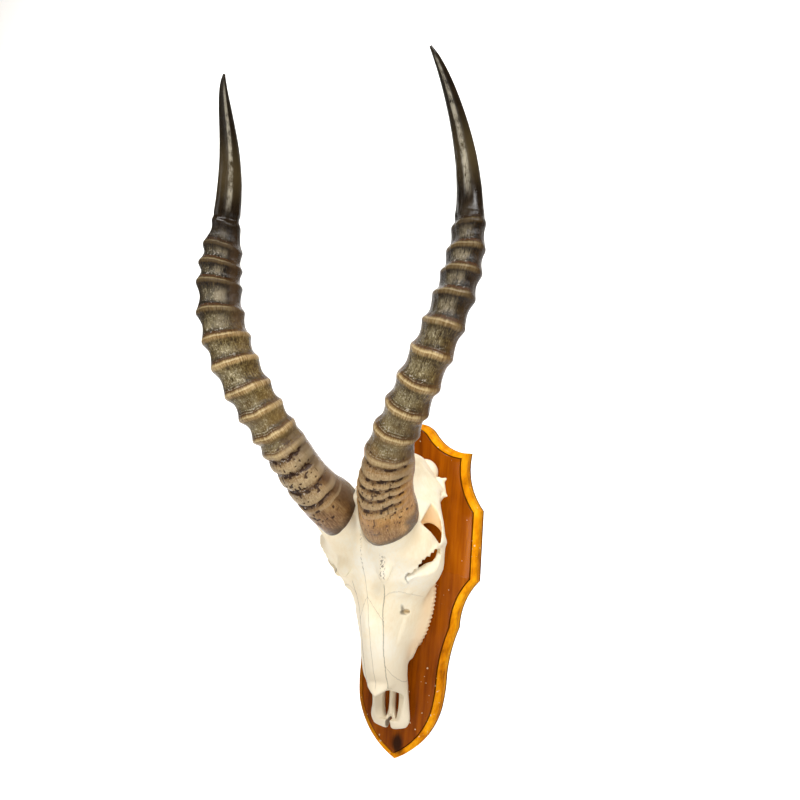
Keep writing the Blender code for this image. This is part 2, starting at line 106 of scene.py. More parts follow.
# %% Meshes from arrays
def new_piece(name, points, faces, material, smooth=True):
    """Makes an object at the origin from points and faces, with its place in its mesh."""
    mesh = bpy.data.meshes.new(name)
    mesh.from_pydata(np.asarray(points).tolist(), [], faces)
    mesh.validate()
    if smooth:
        mesh.shade_smooth()
    mesh.materials.append(material)
    piece = bpy.data.objects.new(name, mesh)
    bpy.context.scene.collection.objects.link(piece)
    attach(piece, "root")
    return piece


def hoop_faces(rows, columns):
    """Quads between hoops of points, and a fan to one more point at each end."""
    i, j = np.meshgrid(np.arange(rows - 1), np.arange(columns), indexing="ij")
    k = (j + 1) % columns
    quads = np.stack((i * columns + j, i * columns + k, (i + 1) * columns + k, (i + 1) * columns + j), -1)
    first, last = rows * columns, rows * columns + 1
    ring = np.arange(columns)
    after = (ring + 1) % columns
    top = (rows - 1) * columns
    fans = [(first, b, a) for a, b in zip(ring.tolist(), after.tolist())]
    fans += [(last, top + a, top + b) for a, b in zip(ring.tolist(), after.tolist())]
    return quads.reshape(-1, 4).tolist() + fans


def hoops_to_piece(name, grid, material, flip=False):
    """A closed piece from a (rows, columns, 3) grid of hoops; flip turns its faces the other way."""
    rows, columns = grid.shape[:2]
    ends = np.stack((grid[0].mean(axis=0), grid[-1].mean(axis=0)))
    faces = hoop_faces(rows, columns)
    if flip:
        faces = [face[::-1] for face in faces]
    return new_piece(name, np.vstack((grid.reshape(-1, 3), ends)), faces, material)


def paint_points(piece, name, values):
    """Keeps one number for each point of a mesh, for its material to read."""
    layer = piece.data.attributes.new(name, "FLOAT", "POINT")
    layer.data.foreach_set("value", np.asarray(values, np.float32))


print("a hoop of 4 rows by 5 has", len(hoop_faces(4, 5)), "faces")

# %% [markdown]
# Value noise makes natural unevenness in geometry: random numbers sit on a coarse lattice, and a
# point takes the eased average of the corners round it. The generator has a fixed seed, so each run
# gives the same object.

# %% Seeded noise
LATTICE_SIZE = 64
OCTAVE_SHIFT = 17.3
LATTICE = np.random.default_rng(11).uniform(-1, 1, (LATTICE_SIZE,) * 3).astype(np.float32)


def noise(points, scale, octaves=1):
    """Sums lattice noise at doubling scales; each octave has half the height of the one before."""
    total = np.zeros(points.shape[:-1])
    for octave in range(octaves):
        p = points * scale * 2 ** octave + OCTAVE_SHIFT * (octave + 1)
        cell = np.floor(p).astype(int)
        t = p - cell
        t = t * t * (3 - 2 * t)
        for corner in np.ndindex(2, 2, 2):
            value = LATTICE[tuple(np.moveaxis((cell + corner) % LATTICE_SIZE, -1, 0))]
            total += value * np.where(corner, t, 1 - t).prod(axis=-1) / 2 ** octave
    return total


print("noise at the origin:", round(float(noise(np.zeros((1, 3)), 1.0)[0]), 3))

# %% [markdown]
# Shader maths reads best as plain expressions. A Wire wraps one socket of a node tree, and adding or
# multiplying wires adds the Math nodes. Every other node comes from one method, which sets the
# node's own settings first and then fills its sockets with numbers, colours or other wires.

# %% Wires
class Wire:
    """One output socket that can be used in sums."""

    def __init__(self, paint, socket):
        self.paint = paint
        self.socket = socket

    def maths(self, operation, *values):
        """One Math node."""
        return self.paint.node("ShaderNodeMath", {"operation": operation}, dict(enumerate(values)))

    def __add__(self, other):
        return self.maths("ADD", self, other)

    def __sub__(self, other):
        return self.maths("SUBTRACT", self, other)

    def __rsub__(self, other):
        return self.maths("SUBTRACT", other, self)

    def __mul__(self, other):
        return self.maths("MULTIPLY", self, other)

    def __abs__(self):
        return self.maths("ABSOLUTE", self)

    def sine(self):
        return self.maths("SINE", self)

    __radd__ = __add__
    __rmul__ = __mul__


def tone(red, green, blue):
    """A colour given as it looks on screen, 0 to 255, as the linear light that a shader wants."""
    parts = []
    for value in (red, green, blue):
        value /= 255
        parts.append(value / 12.92 if value <= 0.04045 else ((value + 0.055) / 1.055) ** 2.4)
    return tuple(parts)


print("straw on screen is", tuple(round(c, 3) for c in tone(200, 175, 120)), "in linear light")

# %% [markdown]
# A Paint is one material. It starts from the Principled shader, whose constants are set on its own
# sockets, and it has short methods for what the finishes below need again and again: coordinates,
# numbers painted on a mesh, noise, eased steps, mixes, colour ramps, coats of colour and bumps.

# %% Paints
class Paint:
    """A material under construction: a Principled shader and the nodes that feed it."""

    def __init__(self, name, **constants):
        self.material = bpy.data.materials.new(name)
        self.material.use_nodes = True
        self.tree = self.material.node_tree
        self.shader = self.tree.nodes["Principled BSDF"]
        for socket, value in constants.items():
            self.shader.inputs[socket.replace("_", " ")].default_value = value

    def node(self, kind, settings=None, inputs=None, output=0):
        """Adds a node, sets it, fills its sockets, and gives back one of its outputs as a Wire."""
        made = self.tree.nodes.new(kind)
        for key, value in (settings or {}).items():
            if key == "stops":
                self.set_stops(made.color_ramp, value)
            else:
                setattr(made, key, value)
        for key, value in (inputs or {}).items():
            self.fill(made.inputs[key], value)
        return Wire(self, made.outputs[output])

    def set_stops(self, ramp, stops):
        """Fills a colour ramp from (position, screen colour) stops."""
        while len(ramp.elements) < len(stops):
            ramp.elements.new(1.0)
        for element, (position, colour) in zip(ramp.elements, stops):
            element.position = position
            element.color = (*tone(*colour), 1.0)

    def fill(self, socket, value):
        """Links a wire to a socket, or sets the socket to a number or a colour."""
        if isinstance(value, Wire):
            self.tree.links.new(value.socket, socket)
        elif isinstance(value, tuple) and len(value) == 3 and len(socket.default_value) == 4:
            socket.default_value = (*value, 1.0)
        else:
            socket.default_value = value

    def feed(self, socket, value):
        """Links a wire to one of the shader's own sockets."""
        self.fill(self.shader.inputs[socket], value)

    def spots(self, stretch=(1, 1, 1)):
        """Object coordinates in metres, stretched along the axes."""
        where = self.node("ShaderNodeTexCoord", output="Object")
        return self.node("ShaderNodeVectorMath", {"operation": "MULTIPLY"}, {0: where, 1: stretch})

    def axis(self, name, stretch=(1, 1, 1)):
        """One Object coordinate: X, Y or Z."""
        return self.node("ShaderNodeSeparateXYZ", None, {0: self.spots(stretch)}, name)

    def number(self, name):
        """A number that was painted on the mesh's points."""
        return self.node("ShaderNodeAttribute", {"attribute_name": name}, output="Fac")

    def cloud(self, where, scale, detail=3.0, rough=0.55):
        """Soft noise from 0 to 1."""
        sockets = {"Vector": where, "Scale": scale, "Detail": detail, "Roughness": rough}
        return self.node("ShaderNodeTexNoise", None, sockets, "Fac")

    def step(self, value, low, high):
        """0 below low, 1 above high, eased between; low may be the larger one."""
        sockets = {"Value": value, "From Min": low, "From Max": high}
        return self.node("ShaderNodeMapRange", {"interpolation_type": "SMOOTHSTEP"}, sockets)

    def blend(self, share, first, second, kind="MIX"):
        """Mixes two colours."""
        settings = {"data_type": "RGBA", "blend_type": kind, "clamp_factor": True}
        return self.node("ShaderNodeMix", settings, {0: share, 6: first, 7: second}, 2)

    def coats(self, colour, *layers):
        """Lays (share, colour) coats over a first colour, in order; a tuple is a screen colour."""
        for share, layer in layers:
            layer = tone(*layer) if isinstance(layer, tuple) else layer
            colour = self.blend(share, colour, layer)
        return colour

    def ramp(self, value, stops):
        """A colour for each value, from (position, screen colour) stops."""
        return self.node("ShaderNodeValToRGB", {"stops": stops}, {"Fac": value}, "Color")

    def relief(self, height, strength, distance):
        """A bump from a height between 0 and 1."""
        sockets = {"Height": height, "Strength": strength, "Distance": distance}
        self.feed("Normal", self.node("ShaderNodeBump", None, sockets, "Normal"))


print("a paint's helpers:", ", ".join(name for name in vars(Paint) if name[0] != "_"))

# %% [markdown]
# The camera stands to the right of the mount and a little below the horns' middle, about 0.95 m
# away, and looks slightly up, with a small tilt of the hand that held it. These angles were fitted
# to the mirror-image horns and shield, so the render can be laid over the photograph.

# %% Camera
CAMERA_PLACE = Vector((0.350, -0.8822, 0.1136))
CAMERA_AZIMUTH = math.radians(23.14)
CAMERA_PITCH = math.radians(-4.64)
CAMERA_ROLL = math.radians(3.92)
FOCAL_LENGTH_PIXELS = 873.6
IMAGE_PIXELS = 800
SENSOR_MM = 36.0


def aim(azimuth, pitch, roll):
    """The camera's axes: forwards from azimuth and pitch, then right and up turned by the roll."""
    flat = math.cos(pitch)
    ahead = Vector((-math.sin(azimuth) * flat, math.cos(azimuth) * flat, -math.sin(pitch)))
    level = Vector((math.cos(azimuth), math.sin(azimuth), 0))
    above = level.cross(ahead)
    right = level * math.cos(roll) + above * math.sin(roll)
    up = above * math.cos(roll) - level * math.sin(roll)
    return right, up, ahead


right, up, ahead = aim(CAMERA_AZIMUTH, CAMERA_PITCH, CAMERA_ROLL)
camera = bpy.data.objects.new("camera", bpy.data.cameras.new("camera"))
camera.data.sensor_width = SENSOR_MM
camera.data.lens = FOCAL_LENGTH_PIXELS / IMAGE_PIXELS * SENSOR_MM
turn = Matrix((right, up, -ahead)).transposed().to_4x4()
camera.matrix_world = Matrix.Translation(CAMERA_PLACE) @ turn
bpy.context.scene.collection.objects.link(camera)
bpy.context.scene.camera = camera
print("lens", round(camera.data.lens, 2), "mm")

# %% [markdown]
# The photograph has a plain white ground. A pale sweep, floor and wall in one curved sheet, gives
# the same calm ground from any side without a line where the two meet. It is a profile in (y, z)
# carried along x.

# %% Backdrop
SWEEP_HALF_WIDTH = 6.0
SWEEP_FRONT = -6.0
SWEEP_WALL = 2.6
SWEEP_FLOOR = -0.62
SWEEP_ROUND = 1.4
SWEEP_TOP = 5.0
SWEEP_ROUND_ROWS = 24


def make_sweep():
    """The floor runs back to a quarter circle of radius SWEEP_ROUND, which turns it up into the wall."""
    turn = np.linspace(0, math.pi / 2, SWEEP_ROUND_ROWS)
    bend_y = SWEEP_WALL - SWEEP_ROUND + SWEEP_ROUND * np.sin(turn)
    bend_z = SWEEP_FLOOR + SWEEP_ROUND - SWEEP_ROUND * np.cos(turn)
    y = np.concatenate(([SWEEP_FRONT], bend_y, [SWEEP_WALL]))
    z = np.concatenate(([SWEEP_FLOOR], bend_z, [SWEEP_TOP]))
    points = [(x, b, c) for x in (-SWEEP_HALF_WIDTH, SWEEP_HALF_WIDTH) for b, c in zip(y, z)]
    count = len(y)
    faces = [(i, count + i, count + i + 1, i + 1) for i in range(count - 1)]
    mesh = bpy.data.meshes.new("sweep")
    mesh.from_pydata(points, [], faces)
    mesh.shade_smooth()
    sweep = bpy.data.objects.new("sweep", mesh)
    bpy.context.scene.collection.objects.link(sweep)
    return sweep


sweep = make_sweep()
PAPER_COLOUR = (0.93, 0.93, 0.92, 1.0)
paper = Paint("backdrop paper", Base_Color=PAPER_COLOUR, Roughness=0.9, Specular_IOR_Level=0.1)
sweep.data.materials.append(paper.material)
print("sweep faces:", len(sweep.data.polygons))

# %% [markdown]
# Area lights stand in for a bright room. The key, from the right and above, shapes the bone. A small
# spark overhead and a tall strip beside the camera draw highlights down the horns. Two weak ones,
# fill and low, lift the shadows, and the last lies behind the mount and whitens only the backdrop.

# %% Light
LIGHTS = (
    ("key", (0.90, -1.10, 1.20), (0.0, -0.12, 0.10), (0.5, 0.5), 20.0),
    ("spark", (0.05, -1.20, 1.55), (0.0, -0.12, 0.20), (0.3, 0.3), 14.5),
    ("strip", (0.42, -1.30, 0.10), (0.1, -0.20, 0.30), (0.06, 1.8), 4.0),
    ("fill", (-1.2, -1.3, 0.5), (0.0, -0.10, 0.1), (0.8, 0.8), 4.0),
    ("low", (0.5, -1.2, -0.9), (0.0, -0.1, 0.0), (0.8, 0.8), 1.8),
    ("ground", (-1.6, 0.8, 1.8), (-2.0, 2.6, 0.9), (3.4, 3.0), 125.0),
)
ROOM_COLOUR = (1.0, 0.86, 0.70, 1.0)
ROOM_STRENGTH = 0.24


def add_light(name, spot, target, size, power):
    """A rectangular area light, (width, height), that faces its target."""
    lamp = bpy.data.lights.new(name, "AREA")
    lamp.shape = "RECTANGLE"
    lamp.size, lamp.size_y = size
    lamp.energy = power
    light = bpy.data.objects.new(name, lamp)
    light.location = spot
    light.rotation_euler = (Vector(target) - Vector(spot)).to_track_quat("-Z", "Y").to_euler()
    bpy.context.scene.collection.objects.link(light)


for values in LIGHTS:
    add_light(*values)
room = bpy.data.worlds.new("room")
room.use_nodes = True
background = room.node_tree.nodes["Background"]
background.inputs["Color"].default_value = ROOM_COLOUR
background.inputs["Strength"].default_value = ROOM_STRENGTH
bpy.context.scene.world = room
bpy.context.scene.view_settings.view_transform = "Standard"
print("lights:", len(LIGHTS))

# %% [markdown]
# The shield is one board. Its outline is a chain of shallow arcs between corners: a low crown, two
# ears, shoulders, a waist and a pointed chin. A router left a round moulding along the edge with a
# fine quirk, the narrow groove between moulding and face, which is painted dark as its shade. The
# outline is sampled finely here, because the packed solid has few points, and the profile is carried
# round it.

# %% Shield outline
CROWN = (0.0, 0.166)
CROWN_END = (0.021, 0.155)
EAR = (0.061, 0.137)
SHOULDER = (0.077, 0.078)
HIP = (0.0775, 0.006)
WAIST = (0.0585, -0.044)
FLANK = (0.0480, -0.094)
CHIN = (0.0445, -0.130)
TIP = (0.0, -0.1845)
OUTLINE_STEP = 0.0012
NEWTON_STEPS = 12
NEWTON_NUDGE = 1e-5


def bend(arc, t, distance=0.0):
    """A point of an arc, moved inwards: a parabola that stands off its chord by the arc's bulge."""
    start, end, bulge = np.array(arc[0]), np.array(arc[1]), arc[2]
    chord = end - start
    outward = np.array((-chord[1], chord[0])) / np.linalg.norm(chord)
    t = np.asarray(t, float)[..., None]
    way = chord + 4 * bulge * (1 - 2 * t) * outward
    inward = np.stack((way[..., 1], -way[..., 0]), -1) / np.linalg.norm(way, axis=-1)[..., None]
    return start + t * chord + 4 * bulge * t * (1 - t) * outward + inward * distance


def corner(first, second, distance):
    """Where two neighbouring arcs meet once both have moved inwards, found by Newton's steps."""
    spot = np.array((1.0, 0.0))
    for _ in range(NEWTON_STEPS):
        ends = bend(first, spot[0], distance), bend(second, spot[1], distance)
        slope = np.column_stack((
            (bend(first, spot[0] + NEWTON_NUDGE, distance) - ends[0]) / NEWTON_NUDGE,
            (ends[1] - bend(second, spot[1] + NEWTON_NUDGE, distance)) / NEWTON_NUDGE,
        ))
        spot -= np.linalg.solve(slope, ends[0] - ends[1])
    return spot


RIGHT_ARCS = (
    (CROWN, CROWN_END, 0.0030),
    (CROWN_END, EAR, -0.0058),
    (EAR, SHOULDER, -0.0070),
    (SHOULDER, HIP, 0.0),
    (HIP, WAIST, -0.0052),
    (WAIST, FLANK, -0.0020),
    (FLANK, CHIN, 0.0010),
    (CHIN, TIP, 0.0078),
)
WAIST_NARROWING = {WAIST: (0.0545, -0.047), FLANK: (0.0462, -0.094)}


def mirrored(spot):
    """The left edge's twin of a corner; this board was cut a little narrower at its left waist."""
    x, up = WAIST_NARROWING.get(spot, spot)
    return -x, up


LEFT_ARCS = tuple((mirrored(b), mirrored(a), bulge) for a, b, bulge in RIGHT_ARCS[::-1])
ARCS = RIGHT_ARCS + LEFT_ARCS


def shield_loop(distance=0.0):
    """The outline in (x, up), clockwise from the crown, moved inwards; its corners stay sharp."""
    ends = [corner(arc, after, distance) for arc, after in zip(ARCS, ARCS[1:] + ARCS[:1])]
    parts = []
    for i, arc in enumerate(ARCS):
        first, last = ends[i - 1][1], ends[i][0]
        count = max(6, int(math.dist(arc[0], arc[1]) / OUTLINE_STEP))
        parts.append(bend(arc, first + (last - first) * np.arange(count) / count, distance))
    return np.vstack(parts)


print("outline points:", len(shield_loop()))

# %% [markdown]
# The profile runs from the back up the straight edge, over the quarter-round and down into the
# quirk, then out onto the face. Its steps are (inset, out): how far in from the outline, and how far
# out from the face.

# %% Shield profile
MOULDING_WIDTH = 0.0055
MOULDING_DEPTH = 0.0065
MOULDING_STEP = 0.0010
MOULDING_ROWS = 12
QUIRK_WIDTH = 0.0011
QUIRK_DEPTH = 0.0022
QUIRK_STEPS = ((0.35, -QUIRK_DEPTH), (0.65, -QUIRK_DEPTH), (0.95, -0.0004), (1.5, 0.0))
EDGE_ROUND = 0.0006
EDGE_START = 0.003
EDGE_ROWS = 4


def shield_profile():
    """Straight edge, then a quarter ellipse: inset 1 - cos, rise sin; then the quirk's steps."""
    back = -SHIELD_THICKNESS
    steps = [(EDGE_ROUND, back), (0.0, back + EDGE_ROUND)]
    steps += [(0.0, out) for out in np.linspace(back + EDGE_START, -MOULDING_DEPTH - EDGE_ROUND, EDGE_ROWS)]
    for angle in np.linspace(0, math.pi / 2, MOULDING_ROWS):
        rise = (MOULDING_DEPTH - MOULDING_STEP) * math.sin(angle)
        steps.append((MOULDING_WIDTH * (1 - math.cos(angle)), rise - MOULDING_DEPTH))
    return steps + [(MOULDING_WIDTH + share * QUIRK_WIDTH, out) for share, out in QUIRK_STEPS]


print("profile steps:", len(shield_profile()))

# %% [markdown]
# The back has the bed of the hanger, the pocket behind its keyhole and two screw holes. A Boolean
# cuts them, because a pocket isn't part of any sweep round the outline. Each cutter is a slot with
# round ends, and where its length is its width it is a plain round hole.

# %% Pockets in the back
HANGER_UP = 0.115
HANGER_SIZE = (0.046, 0.016)
HANGER_BED = 0.0022
KEYHOLE_POCKET = (0.0191, 0.0096, 0.0100)
SKULL_SCREW_UPS = (0.070, -0.040)
SKULL_SCREW_HOLE = (0.0092, 0.0092, 0.0042)
CUTTER_POINTS = 48
CUTTER_START = 0.001


def slot_cutter(length, width, depth, up):
    """A closed body with round ends that reaches depth into the board from behind."""
    turn = np.linspace(0, 2 * math.pi, CUTTER_POINTS, endpoint=False)
    x = width / 2 * np.cos(turn)
    upper_half = np.sign(np.sin(turn) + 1e-9)
    z = up + width / 2 * np.sin(turn) + (length - width) / 2 * upper_half
    grid = np.array([np.column_stack((x, np.full_like(x, y), z)) for y in (CUTTER_START, -depth)])
    ends = np.stack((grid[0].mean(axis=0), grid[1].mean(axis=0)))
    mesh = bpy.data.meshes.new("cutter")
    mesh.from_pydata(np.vstack((grid.reshape(-1, 3), ends)).tolist(), [], hoop_faces(2, CUTTER_POINTS))
    cutter = bpy.data.objects.new("cutter", mesh)
    bpy.context.scene.collection.objects.link(cutter)
    return cutter


def cut(piece, cutter):
    """Cuts one body out of a piece for good, and removes it."""
    modifier = piece.modifiers.new("cut", "BOOLEAN")
    modifier.operation = "DIFFERENCE"
    modifier.object = cutter
    graph = bpy.context.evaluated_depsgraph_get()
    graph.update()
    mesh = bpy.data.meshes.new_from_object(piece.evaluated_get(graph))
    piece.modifiers.clear()
    piece.data = mesh
    bpy.data.objects.remove(cutter, do_unlink=True)


print("pockets and holes:", 2 + len(SKULL_SCREW_UPS))

# %% [markdown]
# The board itself is the profile carried round the outline: one hoop of points for each step, moved
# inwards by its inset. The first and last hoops are closed by one flat face each, the back and the
# face. The hoops in the quirk and at the back's edge get a number that later darkens them, as painted
# shade in the groove and along the back's edge.

# %% Shield
DARK_BACK_ROWS = 3
SHARP_ANGLE = math.radians(35)


def make_shield(material):
    """Carries the profile round the outline, then cuts the pockets in the back."""
    profile = shield_profile()
    hoops = []
    for inset, out in profile:
        loop = shield_loop(inset)
        hoops.append(place(np.column_stack((loop[:, 0], np.full(len(loop), out), loop[:, 1]))))
    grid = np.array(hoops)
    rows, columns = grid.shape[:2]
    faces = hoop_faces(rows, columns)[:(rows - 1) * columns]
    faces.append(list(range(columns))[::-1])
    faces.append(list(range((rows - 1) * columns, rows * columns)))
    piece = new_piece("wooden_shield", grid.reshape(-1, 3), faces, material, False)
    insets = np.array(profile)[:, 0]
    # Painted shade: the hoops in the quirk and at the back's edge are marked to be darkened.
    dark = (insets >= MOULDING_WIDTH) & (insets <= MOULDING_WIDTH + QUIRK_WIDTH)
    dark[:DARK_BACK_ROWS] = True
    paint_points(piece, "edge", np.repeat(dark, columns))
    length, width = (size + 4 * GAP for size in HANGER_SIZE)
    cutters = [slot_cutter(length, width, HANGER_BED, HANGER_UP), slot_cutter(*KEYHOLE_POCKET, HANGER_UP)]
    cutters += [slot_cutter(*SKULL_SCREW_HOLE, up) for up in SKULL_SCREW_UPS]
    for cutter in cutters:
        cut(piece, cutter)
    piece.data.shade_smooth()
    piece.data.set_sharp_from_angle(angle=SHARP_ANGLE)
    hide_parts("shield")
    return piece


print("outline points in a hoop:", len(shield_loop(MOULDING_WIDTH)))

# %% [markdown]
# The board is a warm orange-brown under gloss varnish. The grain runs upright: noise that is
# stretched along z gives the long figure, a finer one the pores. The moulding is painted a brighter
# amber, a painted highlight where the rounded edge catches the light, and a duller amber on its left,
# painted shade on the side away from the light. Specks of dust sit on the varnish, and a knot darkens
# the wood below the muzzle.

# %% Varnished wood
WOOD_FACE = ((0.32, (86, 36, 2)), (0.46, (132, 62, 2)), (0.58, (158, 80, 4)), (0.72, (186, 106, 10)))
WOOD_AMBER = ((0.34, (150, 80, 4)), (0.46, (216, 130, 8)), (0.58, (248, 168, 18)), (0.70, (255, 194, 60)))
MOULDING_FROM_Y = (-0.0178, -0.0172)
KNOT = (0.0035, -0.0180, -0.1670)
KNOT_STRETCH = (1, 0.2, 0.55)
KNOT_EDGE = (0.0080, 0.003)


def knot_share(paint, patches, figure):
    """How much of the knot's brown a place gets: its stretched distance from the knot, made ragged."""
    middle = tuple(value * stretch for value, stretch in zip(KNOT, KNOT_STRETCH))
    spots = paint.spots(KNOT_STRETCH)
    away = paint.node("ShaderNodeVectorMath", {"operation": "DISTANCE"}, {0: spots, 1: middle}, "Value")
    return paint.step(away + (patches - 0.5) * 0.006 + (figure - 0.5) * 0.004, *KNOT_EDGE)


def varnished_wood():
    """A brown face, an amber moulding with painted highlight and shade, the quirk's painted shade, dust,
    pores and knot.
    """
    paint = Paint("varnished wood", Coat_Roughness=0.12, Specular_IOR_Level=0.0)
    figure = paint.cloud(paint.spots((1, 1, 0.075)), 120.0, 5.0, 0.6)
    pores = paint.cloud(paint.spots((1, 1, 0.03)), 900.0, 2.0)
    patches = paint.cloud(paint.spots((1, 1, 0.35)), 22.0, 3.0)
    mottles = paint.cloud(paint.spots((1, 1, 0.6)), 70.0, 4.0, 0.65)
    dust = paint.cloud(paint.spots(), 330.0, 0.0)
    tones = figure * 0.55 + patches * 0.45
    moulding = paint.step(paint.axis("Y"), *MOULDING_FROM_Y)
    left = paint.step(paint.axis("X"), -0.01, -0.04)
    quirk = paint.step(paint.number("edge"), 0.35, 0.75)
    amber = paint.ramp(mottles * 0.6 + tones * 0.4, WOOD_AMBER)
    paint.feed("Base Color", paint.coats(
        paint.ramp(tones, WOOD_FACE),
        # Painted highlight: the moulding's brighter amber. Painted shade: its duller left.
        (moulding, paint.coats(amber, (left * 0.65, (128, 68, 22)))),
        # Painted shade in the quirk and along the back's edge.
        (quirk * 0.85, (62, 24, 2)),
        (paint.step(dust, 0.803, 0.822) * 0.7, (236, 214, 180)),
        (paint.step(pores, 0.62, 0.70) * 0.35, (84, 34, 6)),
        (knot_share(paint, patches, figure) * 0.93, (30, 13, 4)),
    ))
    paint.feed("Coat Weight", moulding * -0.09 + 0.14)
    paint.feed("Roughness", 0.22 + pores * 0.16)
    paint.relief(pores * 0.5 + figure * 0.5, 0.10, 0.0004)
    return paint.material


shield = make_shield(varnished_wood())
print("shield faces:", len(shield.data.polygons))

# %% [markdown]
# Each horn is a sheath that swept out a curve while it grew. The curve is a polynomial through seven
# places at equal shares of its length, root first. The cross-section is an oval whose radius shrinks
# to a point. The turn round the horn is counted from its outer side, so that 90 degrees is its
# front.

# %% Horn curve
HORN_PLACES = (
    (0.0285, 0.119, 0.074),
    (0.0475, 0.173, 0.120),
    (0.0795, 0.205, 0.178),
    (0.1090, 0.213, 0.2445),
    (0.1184, 0.2045, 0.3165),
    (0.1115, 0.216, 0.388),
    (0.0955, 0.257, 0.4465),
)
HORN_LENGTH = 0.4426
HORN_RADII = (
    (-0.03, 0.0272), (0.02, 0.0266), (0.06, 0.0248), (0.10, 0.0238), (0.15, 0.0226), (0.20, 0.0214),
    (0.28, 0.0200), (0.40, 0.0195), (0.50, 0.0188), (0.60, 0.0172), (0.66, 0.0148), (0.70, 0.0116),
    (0.80, 0.0092), (0.90, 0.0061), (0.97, 0.0030), (1.0, 0.0008),
)
HORN_OVAL = ((0.0, -0.08), (0.12, -0.10), (0.25, 0.03), (0.40, 0.13), (0.60, 0.17), (1.0, 0.10))
OVAL_TURN = math.radians(40)
TANGENT_STEP = 0.001


def horn_middle(share):
    """Polynomials through the horn's places, which are equal steps of share apart."""
    steps = np.linspace(0, 1, len(HORN_PLACES))
    shape = np.polyfit(steps, np.array(HORN_PLACES), len(HORN_PLACES) - 1)
    return np.column_stack([np.polyval(shape[:, axis], share) for axis in range(3)])


def horn_axes(share):
    """At each share: the middle, the way towards the tip, the way outwards and the way to the front."""
    middle = place(horn_middle(share))
    way = place(horn_middle(share + TANGENT_STEP)) - place(horn_middle(share - TANGENT_STEP))
    way /= np.linalg.norm(way, axis=1)[:, None]
    outer = np.array((1.0, 0, 0)) - way * way[:, :1]
    outer /= np.linalg.norm(outer, axis=1)[:, None]
    return middle, way, outer, np.cross(outer, way)


print("length of the curve:", round(float(np.linalg.norm(
    np.diff(place(horn_middle(np.linspace(0, 1, 400))), axis=0), axis=1).sum()), 4), "m")

# %% [markdown]
# The two horns differ a little, and a table holds what is each one's own. Its rings are crests, as
# shares of the length, and its tilt leans them towards one turn. A lean (share, spread, amount,
# turn) shifts one stretch of the sheath sideways. The number behind is the rings' strength at the
# back, and wear says how pitted the root is. The rim is the lower edge of the sheath: a turn in
# degrees, and how many millimetres the sheath reaches down over the bone there.

# %% Right and left horn
HORN_ROOT = -0.004
ROOT_SLOPE_END = 0.12
RIGHT_HORN = {
    "side": 1,
    "rings": (0.664, 0.615, 0.571, 0.525, 0.471, 0.416, 0.358,
              0.304, 0.251, 0.198, 0.165, 0.142, 0.121, 0.100),
    "tilt": (0.0035, math.radians(0)),
    "leans": ((0.225, 0.035, 0.0018, 155), (0.16, 0.03, -0.0008, 155)),
    "behind": 0.25,
    "wear": 0.12,
    "rim": ((-60, -1.0), (-30, 1.5), (-15, 4.5), (0, 6.0), (20, 5.0), (45, 4.0), (65, 5.0), (87, 8.5),
            (100, 13.0), (112, 17.0), (125, 18.0), (145, 16.5), (165, 12.0), (185, 8.0), (210, 3.0),
            (240, 0.0), (270, -1.0)),
}
LEFT_HORN = {
    "side": -1,
    "rings": (0.695, 0.643, 0.602, 0.559, 0.498, 0.440, 0.387,
              0.331, 0.282, 0.233, 0.195, 0.165, 0.128, 0.088),
    "tilt": (0.0050, math.radians(20)),
    "leans": ((0.02, 0.055, -0.0036, 40),),
    "behind": 0.65,
    "wear": 0.22,
    "rim": ((-60, 1.0), (-30, 1.5), (0, 1.0), (30, 0.5), (55, -1.0), (70, 1.0), (90, 3.5), (108, 1.0),
            (130, -3.0), (160, -6.0), (190, -5.5), (210, -3.5), (247, 1.0)),
}


def rim_slide(horn, turn):
    """How far down over the bone the sheath reaches at a turn, from the horn's rim table, in metres."""
    degrees, down = np.array(horn["rim"], float).T
    return MM * np.interp(np.degrees(turn), degrees, down, period=360)


print("right horn rings:", len(RIGHT_HORN["rings"]), "left horn rings:", len(LEFT_HORN["rings"]))

# %% [markdown]
# Between two rings the sheath is waisted. Going down from a crest it slopes in gently, and then
# flares out again, faster, to the next. A narrow bead sits on each crest. Near the root the rings
# become low rolls with a sharp valley between, where the worn horn is pitted. Beads, grooves and
# cracks have their reach in millimetres along the horn, because they don't grow with a ring.

# %% Ring relief
END_GAPS = (0.05, 0.026)
RING_WANDER = 0.0028
ROLL_RINGS = (0.28, 0.19)
WAIST_AT = 0.52
WAIST_SKEW = 0.09
VALLEY_AT = 0.40
BEAD_REACH = (3.5, 3.0)
GROOVE = (5.5, 2.6)
CRACK_REACH = (1.5, 4.0)


